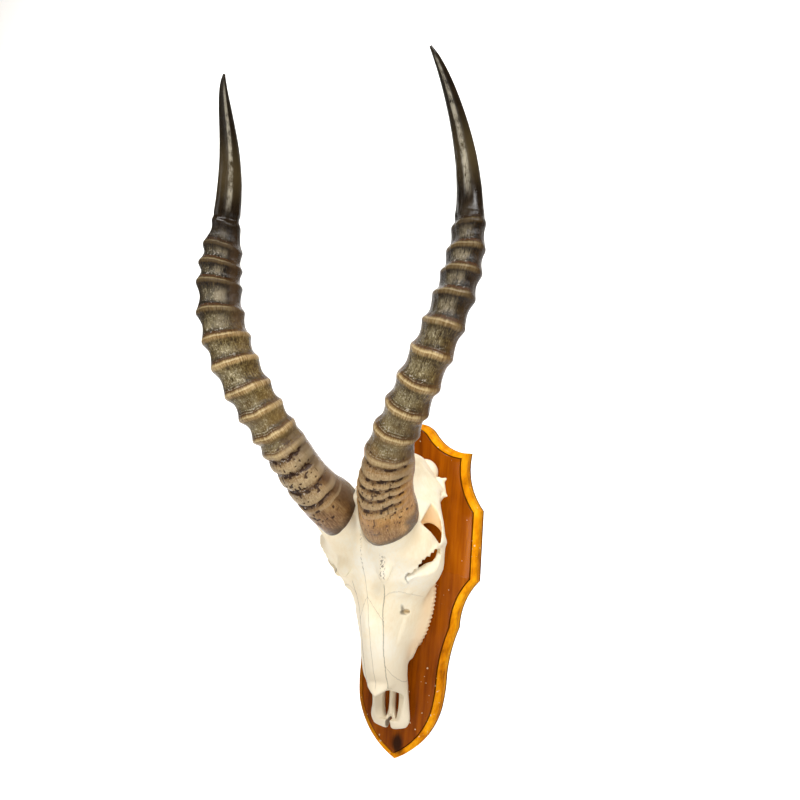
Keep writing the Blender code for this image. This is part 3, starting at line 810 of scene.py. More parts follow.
def ring_relief(horn, share, turn):
    """The rise between crests from the phase p, 0 at a crest and 1 at the next one down.

    Rings have cosine slopes, and rolls have quarter waves that meet in a valley. With the rise come
    the bead, the painted shade in a ring's groove and a roll's valley, and how many millimetres a point
    lies above the crest below it.
    """
    around = np.stack((np.cos(turn) * 1.3, np.sin(turn) * 1.3, share * 9 + horn["side"] * 5), -1)
    wander = noise(around, 1.0, 2) * RING_WANDER
    tilt, tilt_turn = horn["tilt"]
    rings = (horn["rings"][0] + END_GAPS[0], *horn["rings"], horn["rings"][-1] - END_GAPS[1])
    crests = [ring + tilt * np.cos(turn - tilt_turn) + wander * (1 + eased(ring, 0.24, 0.12))
              for ring in rings]
    waist = WAIST_AT - WAIST_SKEW * np.cos(turn)
    crack = CRACK_REACH[0] + CRACK_REACH[1] * horn["wear"]
    relief = [np.zeros_like(share) for _ in range(4)]
    for ring, upper, lower in zip(rings, crests, crests[1:]):
        length = (upper - lower) * HORN_LENGTH / MM
        p = (upper - share) / (upper - lower)
        here = (p >= 0) & (p < 1)
        p = np.clip(p, 0, 1)
        roll = eased(ring, *ROLL_RINGS)
        wave = np.where(p < waist, p / waist, 1 - (p - waist) / (1 - waist))
        wave = 0.5 + 0.5 * np.cos(math.pi * wave)
        falling, rising = p / VALLEY_AT, (p - VALLEY_AT) / (1 - VALLEY_AT)
        valley = np.where(p < VALLEY_AT, np.cos(math.pi / 2 * falling), np.sin(math.pi / 2 * rising))
        below, above = p * length, (1 - p) * length
        bead = np.maximum(np.exp(-(below / BEAD_REACH[0]) ** 2), np.exp(-(above / BEAD_REACH[1]) ** 2))
        groove = np.exp(-((above - GROOVE[0]) / GROOVE[1]) ** 2)
        split = np.exp(-((p - VALLEY_AT) * length / crack) ** 2)
        values = (wave + (valley - wave) * roll, bead, (1 - roll) * groove + roll * split, above)
        relief = [np.where(here, new, old) for new, old in zip(values, relief)]
    return relief


for label, horn in (("right", RIGHT_HORN), ("left", LEFT_HORN)):
    widest = max(upper - lower for upper, lower in zip(horn["rings"], horn["rings"][1:]))
    print("widest ring, " + label + ":", round(widest * HORN_LENGTH / MM, 1), "mm")

# %% [markdown]
# A horn's root is worn where the animal rubbed it. Pits lie in the valleys between the rolls, a row
# of dots runs round the front just above the rim, and a few more dots are strewn about.

# %% Root wear
DOT_LINE = (0.060, 0.026 / 87)
DOT_SPREAD = 0.0035
DOTS_ROUND = 22


def root_wear(horn, share, turn, dark):
    """How pitted each point is, and how far it lies in a dot: both 0 to 1."""
    wear = horn["wear"]
    degrees = np.degrees(turn)
    in_front = eased(0.5 + 0.5 * np.sin(turn), 0.5, 0.8)
    around = horn_spots(horn, share, turn)
    worn = noise(around * (2.6 - 2 * wear, 2.6 - 2 * wear, 3.0 + 26 * wear) + 3, 1.0, 2)
    pit = eased(worn, 0.05 - wear, 0.5 - wear) * eased(dark, 0.2 - wear / 2, 0.8 - wear) * in_front
    line = DOT_LINE[0] + DOT_LINE[1] * degrees
    dots = np.exp(-((share - line) / DOT_SPREAD) ** 2) * eased(np.cos(turn * DOTS_ROUND), 0.1, 0.8)
    dots *= eased(degrees, -12, 0) * eased(degrees, 115, 95) * eased(worn, -0.35, 0.1)
    loose = eased(noise(around * (4.0, 4.0, 8.0) + 9, 1.0), 0.40, 0.56)
    loose *= eased(share, 0.02, 0.04) * eased(share, 0.20, 0.15) * min(1.0, 4.5 * wear)
    return pit, np.maximum(dots, loose * in_front)


def horn_spots(horn, share, turn):
    """Places for noise that runs on without a seam: a circle round the horn, and the way along it."""
    return np.stack((np.cos(turn) * 3, np.sin(turn) * 3, share * 22 + horn["side"] * 7), -1)


print("from dot to dot:", round(2 * math.pi * HORN_RADII[2][1] / DOTS_ROUND / MM, 1), "mm")

# %% [markdown]
# Now the whole sheath is swept: the oval's radius at each share and turn, less the waists, pits and
# dots. The relief is strongest in front. Behind, it keeps a quarter of its strength on the right horn
# and two thirds on the left. The rows lie closer together at the tip, where the sheath ends in a point.

# %% Horn sheath
RING_RISE = 0.0040
ROLL_RISE = 0.0024
ROLL_SHARES = (0.25, 0.17)
BEAD_RISE = 0.30
PIT_DEPTH = 0.0012
DOT_DEPTH = 0.0009
ROUGHNESS = 0.0004
LIP_ROUND = (0.0012, 0.0016)
FRONT_SHIFT = 0.0008
FIRST_RING_FADE = (0.026, 0.004)
LAST_RING_FADE = (0.012, 0.028)
BACK_TO_FRONT = (0.12, 0.74)
ROLLS_BEHIND = 0.1
HORN_ROWS = 820
HORN_COLUMNS = 104
TIP_ROWS = 120
TIP_START = 0.72
TIP_END = 0.9985


def horn_grid(horn):
    """Rows along the horn, columns round it: middle + (outer cos + front sin) x reach.

    The root's end then slides down by the rim table. The numbers for the material come with it.
    """
    share = np.concatenate((np.linspace(HORN_ROOT, TIP_START, HORN_ROWS - TIP_ROWS),
                            np.linspace(TIP_START, TIP_END, TIP_ROWS + 1)[1:]))
    turn = np.linspace(-math.pi, math.pi, HORN_COLUMNS, endpoint=False)
    s, a = np.meshgrid(share, turn, indexing="ij")
    first, last = horn["rings"][0], horn["rings"][-1]
    rise, bead, dark, above = ring_relief(horn, s, a)
    facing = 0.5 + 0.5 * np.sin(a)
    rolls = eased(s, *ROLL_SHARES)
    ringed = eased(s, first + FIRST_RING_FADE[0], first + FIRST_RING_FADE[1])
    base = eased(s, last - LAST_RING_FADE[0], last - LAST_RING_FADE[1])
    flank = 1 - rolls * (1 - eased(np.degrees(a), -5, 40)) * (np.abs(a) < math.pi / 2)
    behind = horn["behind"] + (ROLLS_BEHIND - horn["behind"]) * rolls
    weight = (behind + (1 - behind) * eased(facing, *BACK_TO_FRONT)) * (0.15 + 0.85 * flank)
    weight *= (1 - 0.3 * eased(s, 0.5, first)) * (1 - 0.35 * rolls * eased(s, 0.16, 0.10))
    total = rise * (1 - BEAD_RISE * (1 - rolls)) + BEAD_RISE * bead * (1 - rolls)
    depth = (RING_RISE + (ROLL_RISE - RING_RISE) * rolls) * ringed * weight * (1 - 0.8 * base)
    pit, dots = root_wear(horn, s, a, dark)
    pit *= rolls * (1 - base)

    oval = read_table(HORN_OVAL, share)[:, None]
    reach = read_table(HORN_RADII, share)[:, None] * (1 + oval * np.cos(2 * (a - OVAL_TURN)))
    reach += FRONT_SHIFT * np.sin(a) - depth * (1 - total)
    for middle_share, spread, amount, lean_turn in horn["leans"]:
        reach += amount * np.cos(a - math.radians(lean_turn)) * np.exp(-((s - middle_share) / spread) ** 2)
    reach += ROUGHNESS * noise(horn_spots(horn, s, a), 1.0, 3) * eased(s, 0.98, 0.7)
    reach -= PIT_DEPTH * pit + DOT_DEPTH * dots
    reach -= LIP_ROUND[0] * (1 - eased((s - HORN_ROOT) * HORN_LENGTH, 0.0, LIP_ROUND[1])) ** 2

    slide = rim_slide(horn, a) * np.clip((ROOT_SLOPE_END - s) / (ROOT_SLOPE_END - HORN_ROOT), 0, 1)
    middle, way, outer, front = (axis[:, None] for axis in horn_axes(share))
    spoke = outer * np.cos(a)[..., None] + front * np.sin(a)[..., None]
    points = middle + spoke * reach[..., None] - way * slide[..., None]
    points[..., 0] *= horn["side"]
    # dark is the painted shade in the rings' grooves and the rolls' valleys.
    paints = {"share": s, "bead": bead * ringed, "dark": dark * ringed * (1 - base), "above": above,
              "facing": facing, "pit": np.maximum(pit, dots), "rise": rise, "flank": flank,
              "turn_x": np.cos(a), "turn_y": np.sin(a)}
    return points, paints


def make_horn(name, node, horn, material):
    """One horn, with its painted numbers kept on the mesh."""
    grid, paints = horn_grid(horn)
    piece = hoops_to_piece(name, grid, material, flip=horn["side"] > 0)
    for paint_name, values in paints.items():
        flat = values.reshape(-1)
        paint_points(piece, paint_name, np.concatenate((flat, flat[:1], flat[-1:])))
    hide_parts(node)
    return piece


print("from row to row:", round((TIP_START - HORN_ROOT) * HORN_LENGTH / (HORN_ROWS - TIP_ROWS) / MM, 2), "mm")

# %% [markdown]
# Horn is keratin, laid down in fine fibres along its length. The numbers painted on the mesh tell the
# material where it is. They are gathered first, with the noises and with how far a place faces the
# front or the light, so that each zone of colour can be written by itself.

# %% Horn marks
# The shine ways point to where the painted gloss and painted streak sit, the side that faces the light.
FRONT_WAY = (-0.044, 0.498)
SHINE_RIGHT = (0.174, 0.985)
SHINE_LEFT = (-0.574, 0.819)
HORN_NUMBERS = ("share", "bead", "facing", "rise", "dark", "pit", "above", "flank", "turn_x", "turn_y")


def along(paint, horn, waver, low, high):
    """An eased step along the horn whose edge wavers with the mottle."""
    return paint.step(horn.share + (horn.mottle - 0.5) * waver, low, high)


def facing_way(horn, way):
    """How far a place faces a way (outwards, forwards): the dot product with its turn."""
    return horn.turn_x * way[0] + horn.turn_y * way[1]


def horn_marks(paint):
    """The painted numbers, the noises, and how far each place faces the front and the light."""
    horn = SimpleNamespace(**{name: paint.number(name) for name in HORN_NUMBERS})
    round_it = {"X": horn.turn_x, "Y": horn.turn_y, "Z": horn.share * 1.8}
    where = paint.node("ShaderNodeCombineXYZ", None, round_it)
    horn.fibres = paint.cloud(where, 46.0, 3.0, 0.6)
    horn.knurls = paint.cloud(where, 22.0, 2.0, 0.6)
    horn.mottle = paint.cloud(paint.spots(), 75.0, 4.0, 0.6)
    horn.specks = paint.cloud(paint.spots(), 520.0, 2.0, 0.7)
    horn.grit = paint.cloud(paint.spots(), 330.0, 2.0, 0.5)
    horn.left = paint.step(paint.axis("X"), 0.01, -0.01)
    horn.upper = along(paint, horn, 0.08, 0.40, 0.53)
    horn.front = facing_way(horn, FRONT_WAY) + 0.5
    shine_right = facing_way(horn, SHINE_RIGHT)
    horn.polished = horn.left * (facing_way(horn, SHINE_LEFT) - shine_right) + shine_right
    horn.ragged = horn.above + (horn.specks - 0.5) * 3.0
    horn.ripple = (horn.above * 3.1 + horn.fibres * 3.0).sine()
    return horn


for outwards, forwards in (SHINE_RIGHT, SHINE_LEFT):
    print("a horn shines most at", round(math.degrees(math.atan2(forwards, outwards))), "degrees")

# %% [markdown]
# The waists between the rings are an olive brown low down and nearly black higher up. Grooves are
# painted darker still, as their shade. In front, painted sheen, gloss streaks and fine specks stand in
# for the highlights on the polished fibres, and painted glints sparkle in the dark grooves.

# %% Waists
OLIVE = ((0.37, (30, 20, 6)), (0.47, (82, 67, 36)), (0.56, (132, 116, 72)), (0.65, (206, 194, 150)))
DUSK = ((0.37, (8, 5, 2)), (0.48, (30, 20, 9)), (0.57, (54, 41, 22)), (0.68, (112, 98, 66)))


def waist_colour(paint, horn):
    """Olive that turns to dusk, then the grooves' painted shade, and painted sheen, gloss and glints."""
    mixed = horn.fibres * 0.5 + horn.mottle * 0.2 + horn.specks * 0.3
    strands = horn.fibres + horn.mottle
    middle = paint.step(horn.rise, 0.9, 0.1) * (horn.dark * -0.6 + 1)
    faded = horn.upper * -0.6 + 0.9
    sheen = middle * paint.step(horn.front, 0.84, 0.99) * paint.step(strands, 0.80, 1.15)
    gloss = paint.step(horn.polished, 0.86, 0.99) * middle * horn.upper * paint.step(strands, 0.78, 1.1)
    glints = paint.step(horn.specks, 0.60, 0.68) * horn.dark * paint.step(horn.front, 0.75, 0.95)
    return paint.coats(
        paint.ramp(mixed, OLIVE),
        (paint.step(horn.share, 0.36, 0.22) * 0.45, (158, 132, 84)),
        (horn.upper, paint.ramp(mixed, DUSK)),
        # painted shade in the grooves
        (horn.dark * (horn.rise * -0.3 + 0.8), paint.blend(horn.upper, tone(34, 24, 14), tone(10, 6, 3))),
        # painted highlights: sheen, gloss streaks, specks and glints
        (sheen * faded * 0.75, (174, 168, 138)),
        (gloss * 0.6, (168, 160, 142)),
        (sheen * paint.step(horn.specks, 0.54, 0.66) * faded, (232, 228, 208)),
        (glints * 0.8, (206, 204, 206)),
    )


print("brightest olive and dusk:", [round(max(tone(*stops[-1][1])), 2) for stops in (OLIVE, DUSK)])

# %% [markdown]
# Each bead is straw-coloured, dulled towards the tip, with a painted highlight on its crest in front.
# Above it lie a painted band of shade and, low on the horn, a few rows of painted glints. The back and
# sides of the horn are a plain brown, part the sheath's own brown and part painted shade and warm
# reflection.

# %% Rings
STRAW = ((0.36, (122, 96, 58)), (0.5, (176, 150, 104)), (0.64, (222, 204, 162)))
BROWN = ((0.34, (78, 54, 28)), (0.62, (132, 102, 62)))
DULLING = (0.76, 0.70, 0.60)


def ring_colour(paint, horn, body):
    """Lays painted shade, painted glints, bead, painted crest highlight and the brown back over the waists.
    """
    shade_band = paint.step(horn.ragged, 5.4, 4.0) * paint.step(horn.ragged, 1.6, 3.0)
    rows = paint.step(horn.ripple, 0.2, 0.95) * paint.step(horn.specks + horn.knurls, 0.80, 1.15)
    rows = rows * paint.step(horn.ragged, 9.0, 6.0) * paint.step(horn.ragged, 2.2, 4.2)
    rows = rows * paint.step(horn.front, 0.80, 0.97) * along(paint, horn, 0.1, 0.42, 0.30)
    straw = paint.ramp(horn.knurls * 0.6 + horn.mottle * 0.4, STRAW)
    straw = paint.coats(straw, (horn.upper * (horn.left * 0.15 + 0.75), (70, 56, 34)))
    crest = paint.step(horn.bead + (horn.knurls - 0.5) * 0.5, 0.6, 1.0) * paint.step(horn.front, 0.7, 0.95)
    crest = crest * paint.step(horn.ragged, -1.0, 0.6) * paint.step(horn.ragged, 3.6, 1.6)
    brown = paint.ramp(horn.mottle * 0.6 + horn.fibres * 0.4, BROWN)
    brown = paint.coats(brown, (horn.upper * 0.8, (42, 28, 14)))
    back = paint.step(horn.front, 0.88, 0.58)
    body = paint.coats(
        body,
        # painted shade above each bead, then rows of painted glints low on the horn
        (shade_band * 0.75, (84, 54, 26)),
        (rows * 0.6, (220, 214, 188)),
        (paint.step(horn.bead + (horn.knurls - 0.5) * 0.35, 0.30, 0.85), straw),
        # painted highlight on the crest, then the back's brown: own colour and painted shade and reflection
        (crest * (horn.upper * -0.4 + 0.6), (236, 222, 182)),
        (back * (horn.left * paint.step(horn.share, 0.52, 0.40) * -0.7 + 0.9), brown),
    )
    return paint.blend(1.0, body, DULLING, "MULTIPLY")


print("brightest straw and brown:", [round(max(tone(*stops[-1][1])), 2) for stops in (STRAW, BROWN)])

# %% [markdown]
# The root is a worn tan, redder on the right horn and greyer on the left. Real cracks lie between its
# rolls and are painted dark as their shade, the rolls' crests are painted lighter as their highlight,
# and the side facing away gets a painted brown shade. The tip is almost black, with one narrow painted
# streak of highlight.

# %% Root and tip
ROOT = ((0.34, (126, 82, 36)), (0.5, (192, 140, 74)), (0.66, (228, 184, 116)))
ROOT_LEFT = ((0.34, (84, 64, 44)), (0.5, (128, 104, 72)), (0.66, (166, 144, 104)))
ROOT_WORN = ((0.38, (104, 82, 54)), (0.5, (152, 128, 92)), (0.62, (206, 188, 152)))
ROOT_FOOT = ((0.40, (78, 50, 28)), (0.5, (132, 96, 62)), (0.60, (184, 146, 104)))
TIP_TONES = ((0.35, (8, 5, 2)), (0.65, (36, 25, 13)))


def root_colour(paint, horn):
    """Tan or grey-brown, then wear, painted highlight on the rolls, foot, painted shade in cracks, glints and
    shade.
    """
    strands = horn.mottle * 0.5 + horn.fibres * 0.5
    worn = paint.step(horn.front, 0.66, 0.92) * along(paint, horn, 0.04, 0.055, 0.095)
    foot = along(paint, horn, 0.03, 0.070, 0.030) * paint.step(horn.front, 0.70, 0.94)
    grains = horn.knurls * 0.35 + horn.fibres * 0.35 + horn.specks * 0.3
    crack_shade = horn.dark * paint.step(horn.mottle + horn.fibres + horn.left * 0.12, 0.80, 1.10)
    crack_shade = crack_shade * horn.flank * paint.step(horn.front, 0.5, 0.7)
    glints = paint.step(horn.specks, 0.60, 0.68) * horn.dark * horn.flank
    glints = glints * paint.step(horn.front, 0.85, 0.95) * horn.left
    shade = along(paint, horn, 0.05, 0.115, 0.165) * paint.step(horn.facing, 0.98, 0.80)
    return paint.coats(
        paint.ramp(strands, ROOT),
        (horn.left * 0.75, paint.ramp(strands, ROOT_LEFT)),
        (horn.left * paint.step(horn.front, 0.86, 0.62) * 0.8, (84, 60, 40)),
        (worn * 0.65, paint.ramp(horn.fibres * 0.5 + horn.specks * 0.5, ROOT_WORN)),
        # painted highlight on the rolls' crests
        (paint.step(horn.rise, 0.55, 0.97) * horn.flank * 0.3, (206, 184, 144)),
        (foot * 0.7, paint.ramp(grains, ROOT_FOOT)),
        # painted shade in the cracks between the rolls, then painted glints in them
        (crack_shade * 0.85, (66, 40, 22)),
        (glints * 0.9, (230, 220, 210)),
        (shade * 0.55, (112, 98, 72)),
        # painted shade on the side facing away
        (paint.step(horn.facing, 0.52, 0.30) * 0.7, (110, 82, 54)),
    )


def tip_colour(paint, horn):
    """Nearly black, with a paler stretch and one painted streak of highlight."""
    paler = paint.step(horn.share, 0.72, 0.80) * paint.step(horn.share, 0.90, 0.80)
    # painted highlight: a streak where the tip faces the light
    streak = paint.step(horn.polished, 0.95, 0.999) * paint.step(horn.fibres + horn.mottle, 0.86, 1.1)
    streak = streak * paint.step(horn.share, 0.70, 0.78) * paint.step(horn.share, 0.99, 0.95)
    tip = paint.ramp(horn.mottle * 0.5 + horn.fibres * 0.5, TIP_TONES)
    return paint.coats(tip, (paler * 0.4, (92, 78, 50)), (streak * 0.7, (196, 188, 168)))


tans = (ROOT, ROOT_LEFT, ROOT_WORN, ROOT_FOOT)
print("brightest tans:", [round(max(tone(*stops[-1][1])), 2) for stops in tans])

# %% [markdown]
# The zones are laid over one another from the middle outwards: rings, root, pits and dots, tip, then
# a dark line along the rim and a scuffed outer side. Bumps follow the fibres and the grit.

# %% Ringed horn
def ringed_horn():
    """The horn's whole finish: zones of colour, a polished tip, and bumps."""
    paint = Paint("ringed horn", Specular_IOR_Level=0.24, IOR=1.5)
    horn = horn_marks(paint)
    pitted = paint.step(horn.pit + (horn.specks - 0.5) * 0.3, 0.15, 0.6)
    scuff = paint.step(horn.turn_x + (horn.mottle - 0.5) * 0.3, 0.80, 0.93)
    scuff = scuff * paint.step(horn.share, 0.060, 0.022)
    paint.feed("Base Color", paint.coats(
        ring_colour(paint, horn, waist_colour(paint, horn)),
        (along(paint, horn, 0.07, 0.225, 0.175), root_colour(paint, horn)),
        (pitted * 0.9, (50, 26, 12)),
        (along(paint, horn, 0.05, 0.60, 0.70) * 0.95, tip_colour(paint, horn)),
        (along(paint, horn, 0.02, 0.018, 0.002) * 0.75, (66, 52, 40)),
        (scuff * 0.85, (62, 48, 40)),
    ))
    ringed = paint.step(horn.share, 0.72, 0.62)
    paint.feed("Roughness", ringed * 0.10 + horn.mottle * 0.13 + 0.07)
    rows = (horn.ripple * 0.5 + 0.5) * paint.step(horn.above, 9.0, 4.0)
    height = horn.fibres * 0.28 + horn.grit * 0.42 + horn.specks * 0.22 + rows * 0.08
    paint.relief(height * (ringed * 0.82 + 0.18), 0.75, 0.0020)
    return paint.material


HORN_PAINT = ringed_horn()
horn_right = make_horn("ringed_horn_right", "horn_right", RIGHT_HORN, HORN_PAINT)
make_horn("ringed_horn_left", "horn_left", LEFT_HORN, HORN_PAINT)
print("horn triangles:", sum(len(p.vertices) - 2 for p in horn_right.data.polygons))

# %% [markdown]
# A skull can't be one sheet of two parameters, because its cheek arches and eye openings are holes
# through it. It is modelled the way a sculptor works: a mass, then lumps laid on and hollows
# scooped out, each joined with a soft fillet. Every form is a distance field, a number at each point
# of a grid that is negative inside, and the surface is drawn afterwards where the sum passes zero.
# Only the right half is worked out, and its mirror image is laid beside it. This part is in
# millimetres, because bones are measured so.

# %% Field grid
FIELD_STEP = 1.2
FIELD_HALF_WIDTH = 68.0
FIELD_OUT = (-4.0, 140.0)
FIELD_UP = (-155.0, 141.0)

X = np.arange(0, FIELD_HALF_WIDTH, FIELD_STEP, dtype=np.float32)[:, None, None]
OUT = np.arange(*FIELD_OUT, FIELD_STEP, dtype=np.float32)[None, :, None]
UP = np.arange(*FIELD_UP, FIELD_STEP, dtype=np.float32)[None, None, :]


def join(first, second, fillet=3.0):
    """The union of two fields, with a soft fillet where they meet."""
    near = np.maximum(fillet - np.abs(first - second), 0) / fillet
    return np.minimum(first, second) - near * near * fillet / 4


def scoop(body, hollow, fillet=3.0):
    """The body without the hollow."""
    return -join(-body, hollow, fillet)


def overlap(*fields, fillet=3.0):
    """What lies inside all the fields."""
    total = fields[0]
    for field in fields[1:]:
        total = -join(-total, -field, fillet)
    return total


def egg(centre, radii, open_out=False):
    """Distance to an ellipsoid, from its two scaled lengths; if open out, its front half is a tunnel."""
    scaled = [(axis - middle) / radius for axis, middle, radius in zip((X, OUT, UP), centre, radii)]
    if open_out:
        scaled[1] = np.minimum(scaled[1], 0)
    near = np.sqrt(sum(part * part for part in scaled))
    steep = np.sqrt(sum((part / radius) ** 2 for part, radius in zip(scaled, radii)))
    return near * (near - 1) / np.maximum(steep, 1e-3)


def bar(spots, radii):
    """Distance to a chain of tapering rods: to the nearest place on a middle line, less its radius."""
    total = 1e3
    for (a, b), (ra, rb) in zip(zip(spots, spots[1:]), zip(radii, radii[1:])):
        a, b = np.array(a, float), np.array(b, float)
        span = b - a
        gap = [axis - start for axis, start in zip((X, OUT, UP), a)]
        t = np.clip(sum(g * s for g, s in zip(gap, span)) / (span @ span), 0, 1)
        rod = np.sqrt(sum((g - t * s) ** 2 for g, s in zip(gap, span))) - (ra + (rb - ra) * t)
        total = np.minimum(total, rod)
    return total


def both_sides(half, left=None):
    """The whole skull's field from its right half and its left, a mirror image unless it is given."""
    left = half if left is None else left
    return np.concatenate((left[:0:-1], half))


print("field points:", X.size * OUT.size * UP.size)

# %% [markdown]
# The openings of the face run obliquely into the skull, towards its middle and the board. Their
# outlines are drawn on a plane some way out of the board, as (x, up) corners, and carried along rays
# from the spot where the mount is looked at. Such a prism cuts an opening that keeps its outline.

# %% Prisms
VIEW_SPOT = (350.0, 864.2, 113.6)
OPENING_PLANE = 50.0


def prism(corners):
    """Signed distance to a polygon on the opening plane, carried along rays from VIEW_SPOT."""
    x, out, up = VIEW_SPOT
    spread = (out - OPENING_PLANE) / (out - OUT)
    q, w = x + (X - x) * spread, up + (UP - up) * spread
    near = np.float32(1e6)
    inside = np.zeros(np.broadcast(q, w).shape, bool)
    for a, b in zip(corners, corners[1:] + corners[:1]):
        (a0, a1), (s0, s1) = a, (b[0] - a[0], b[1] - a[1])
        t = np.clip(((q - a0) * s0 + (w - a1) * s1) / (s0 * s0 + s1 * s1), 0, 1)
        near = np.minimum(near, (q - a0 - t * s0) ** 2 + (w - a1 - t * s1) ** 2)
        if s1:
            inside ^= ((w >= a1) != (w >= b[1])) & (q < a0 + (w - a1) * s0 / s1)
    return np.sqrt(near) * np.where(inside, -1, 1)


print("a prism is drawn from", VIEW_SPOT, "mm")

# %% [markdown]
# The mass of the skull follows sections across its length, muzzle first. Each section is a rounded
# box, a superellipse, with its own width near the board and near the forehead. Real antelope skulls
# are wide at the eyes, so the sections swell there and then fall away behind the horns. A row holds
# its height, its half width at the board and at the forehead, where it starts and ends above the
# board, and how square it is in its lower and its upper half.

# %% Mass of the skull
SKULL_SECTIONS = (
    (-149.0, 11.0, 10.0, 9.0, 17.0, 2.3, 2.3),
    (-145.0, 19.5, 17.0, 7.0, 20.0, 2.3, 2.3),
    (-137.0, 22.5, 20.0, 6.5, 22.5, 2.3, 2.3),
    (-125.0, 21.8, 18.0, 7.0, 25.0, 2.3, 2.3),
    (-114.0, 21.4, 17.5, 8.5, 31.0, 2.3, 2.2),
    (-106.0, 21.6, 18.5, 10.0, 39.0, 2.3, 2.1),
    (-101.0, 21.8, 19.0, 10.0, 46.0, 2.3, 2.1),
    (-90.0, 22.6, 19.5, 12.0, 61.0, 2.3, 2.1),
    (-70.0, 24.8, 19.5, 15.0, 70.0, 2.3, 2.2),
    (-45.0, 32.0, 16.0, 18.0, 80.0, 2.3, 2.3),
    (-25.0, 41.0, 17.0, 19.0, 86.5, 2.3, 2.2),
    (-10.0, 48.5, 22.0, 19.0, 91.0, 2.3, 2.0),
    (0.0, 57.0, 30.0, 19.0, 95.0, 2.3, 1.9),
    (13.0, 61.0, 49.0, 19.0, 101.0, 2.5, 1.8),
    (20.0, 61.0, 59.0, 18.0, 105.0, 2.7, 1.7),
    (35.0, 57.0, 77.0, 17.0, 113.0, 3.0, 1.6),
    (43.0, 57.0, 80.0, 16.0, 115.0, 3.0, 1.5),
    (53.0, 58.0, 74.0, 15.0, 117.0, 3.0, 1.5),
    (67.0, 58.0, 60.0, 15.0, 122.0, 3.5, 1.6),
    (78.0, 57.0, 40.0, 15.0, 128.0, 4.0, 2.0),
    (86.0, 56.0, 22.0, 14.8, 131.0, 4.0, 2.3),
    (92.0, 54.0, 8.0, 14.5, 129.0, 4.0, 2.3),
    (98.0, 51.0, 6.0, 14.5, 118.0, 4.0, 2.3),
    (107.0, 46.0, 10.0, 14.0, 102.0, 4.0, 2.3),
    (118.0, 38.0, 19.0, 15.0, 85.0, 3.0, 2.3),
    (127.0, 32.0, 19.0, 18.0, 73.0, 2.3, 2.3),
    (133.0, 23.0, 17.0, 29.0, 64.0, 2.3, 2.3),
)


def mass_field():
    """Superellipses, (|x| / half)^n + |v|^n = 1, made a distance by dividing by their slope."""
    rows = read_table(SKULL_SECTIONS, UP.ravel())
    half_low, half_high, low, high, square_low, square_high = (c[None, None, :] for c in rows.T)
    v = (2 * OUT - low - high) / (high - low)
    n = np.where(v > 0, square_high, square_low)
    half = np.maximum(half_low + (half_high - half_low) * (v + 1) / 2, 1.5)
    q = np.clip(((X / half) ** n + np.abs(v) ** n) ** (1 / n) - 1, -1, 3).astype(np.float32)
    slope = np.sqrt(sum(g * g for g in np.gradient(q, FIELD_STEP)))
    ends = SKULL_SECTIONS[0][0] - UP, UP - SKULL_SECTIONS[-1][0]
    return overlap(q / np.maximum(slope, 0.008), *ends, fillet=4.0)


skull_field = mass_field()
print("inside the mass:", int((skull_field < 0).sum()), "grid points")

# %% [markdown]
# Seen from the front, the cheeks bulge out and fall back again. A second outline, given as half
# widths at each height, trims the mass to them. Near the board the sides slope in, because the
# cheek bones overhang what lies below.

# %% Cheek outline
CHEEK_WIDTH = ((-16.0, 47.0), (0.0, 48.5), (4.0, 53.5), (12.0, 59.0), (20.0, 60.4), (35.0, 59.6),
               (49.0, 59.2), (59.0, 57.5), (86.0, 53.6), (96.0, 60.0))
UNDER_SLOPE = 0.52
UNDER_FROM = 44.0


def cheek_side():
    """Signed distance past the cheek's width, which shrinks by UNDER_SLOPE per mm under UNDER_FROM."""
    heights = np.clip(UP.ravel(), CHEEK_WIDTH[0][0], CHEEK_WIDTH[-1][0])
    below = np.maximum(UNDER_FROM - OUT, 0) * eased(UP, -30.0, -5.0) * eased(UP, 96.0, 84.0)
    return X - read_table(CHEEK_WIDTH, heights)[None, None, :] + UNDER_SLOPE * below


skull_field = overlap(skull_field, cheek_side(), fillet=6.0)
print("inside the trimmed mass:", int((skull_field < 0).sum()), "grid points")

# %% [markdown]
# The jaw's edge is a ridge along each tooth row. Its section is a wedge: it stands up from the
# teeth, leans in over the cheek, and slopes away to the palate on the other side. Fine ribs on its
# cheek side show where the roots lie.

# %% Tooth rows
TEETH = (
    ("premolar_2", 9.0, 7.2),
    ("premolar_3", 10.5, 9.0),
    ("premolar_4", 11.0, 10.8),
    ("molar_1", 13.0, 12.5),
    ("molar_2", 15.0, 13.5),
    ("molar_3", 16.0, 12.8),
)
TOOTH_ROW_START = -63.5
TOOTH_ROW_WIDEST = (30.2, -10.0)
TOOTH_ROW_BEND = 0.0034
TOOTH_BITE = 0.8
TOOTH_NECK = 11.5
RIDGE_LEAD_IN = ((-77.0, 16.5, 4.2, 15.5), (-70.0, 18.5, 4.6, 13.0))
RIDGE_END = 12.0
RIDGE_END_WIDTH = 4.2
RIDGE_TOP = 56.0
RIDGE_WALL = 1.2
RIDGE_SWELL = 2.6
SAW_DEPTH = 1.0
SAW_PITCH = 4.2


def row_middle(up):
    """How far out to the side the tooth row's middle lies, on a parabola."""
    widest, at = TOOTH_ROW_WIDEST
    return widest - TOOTH_ROW_BEND * (up - at) ** 2


def tooth_places():
    """Each tooth's name, size and the height of its middle, worked out from the one before it."""
    up = TOOTH_ROW_START
    for name, length, width in TEETH:
        yield name, length, width, up + length / 2
        up += length + 2 * GAP / MM


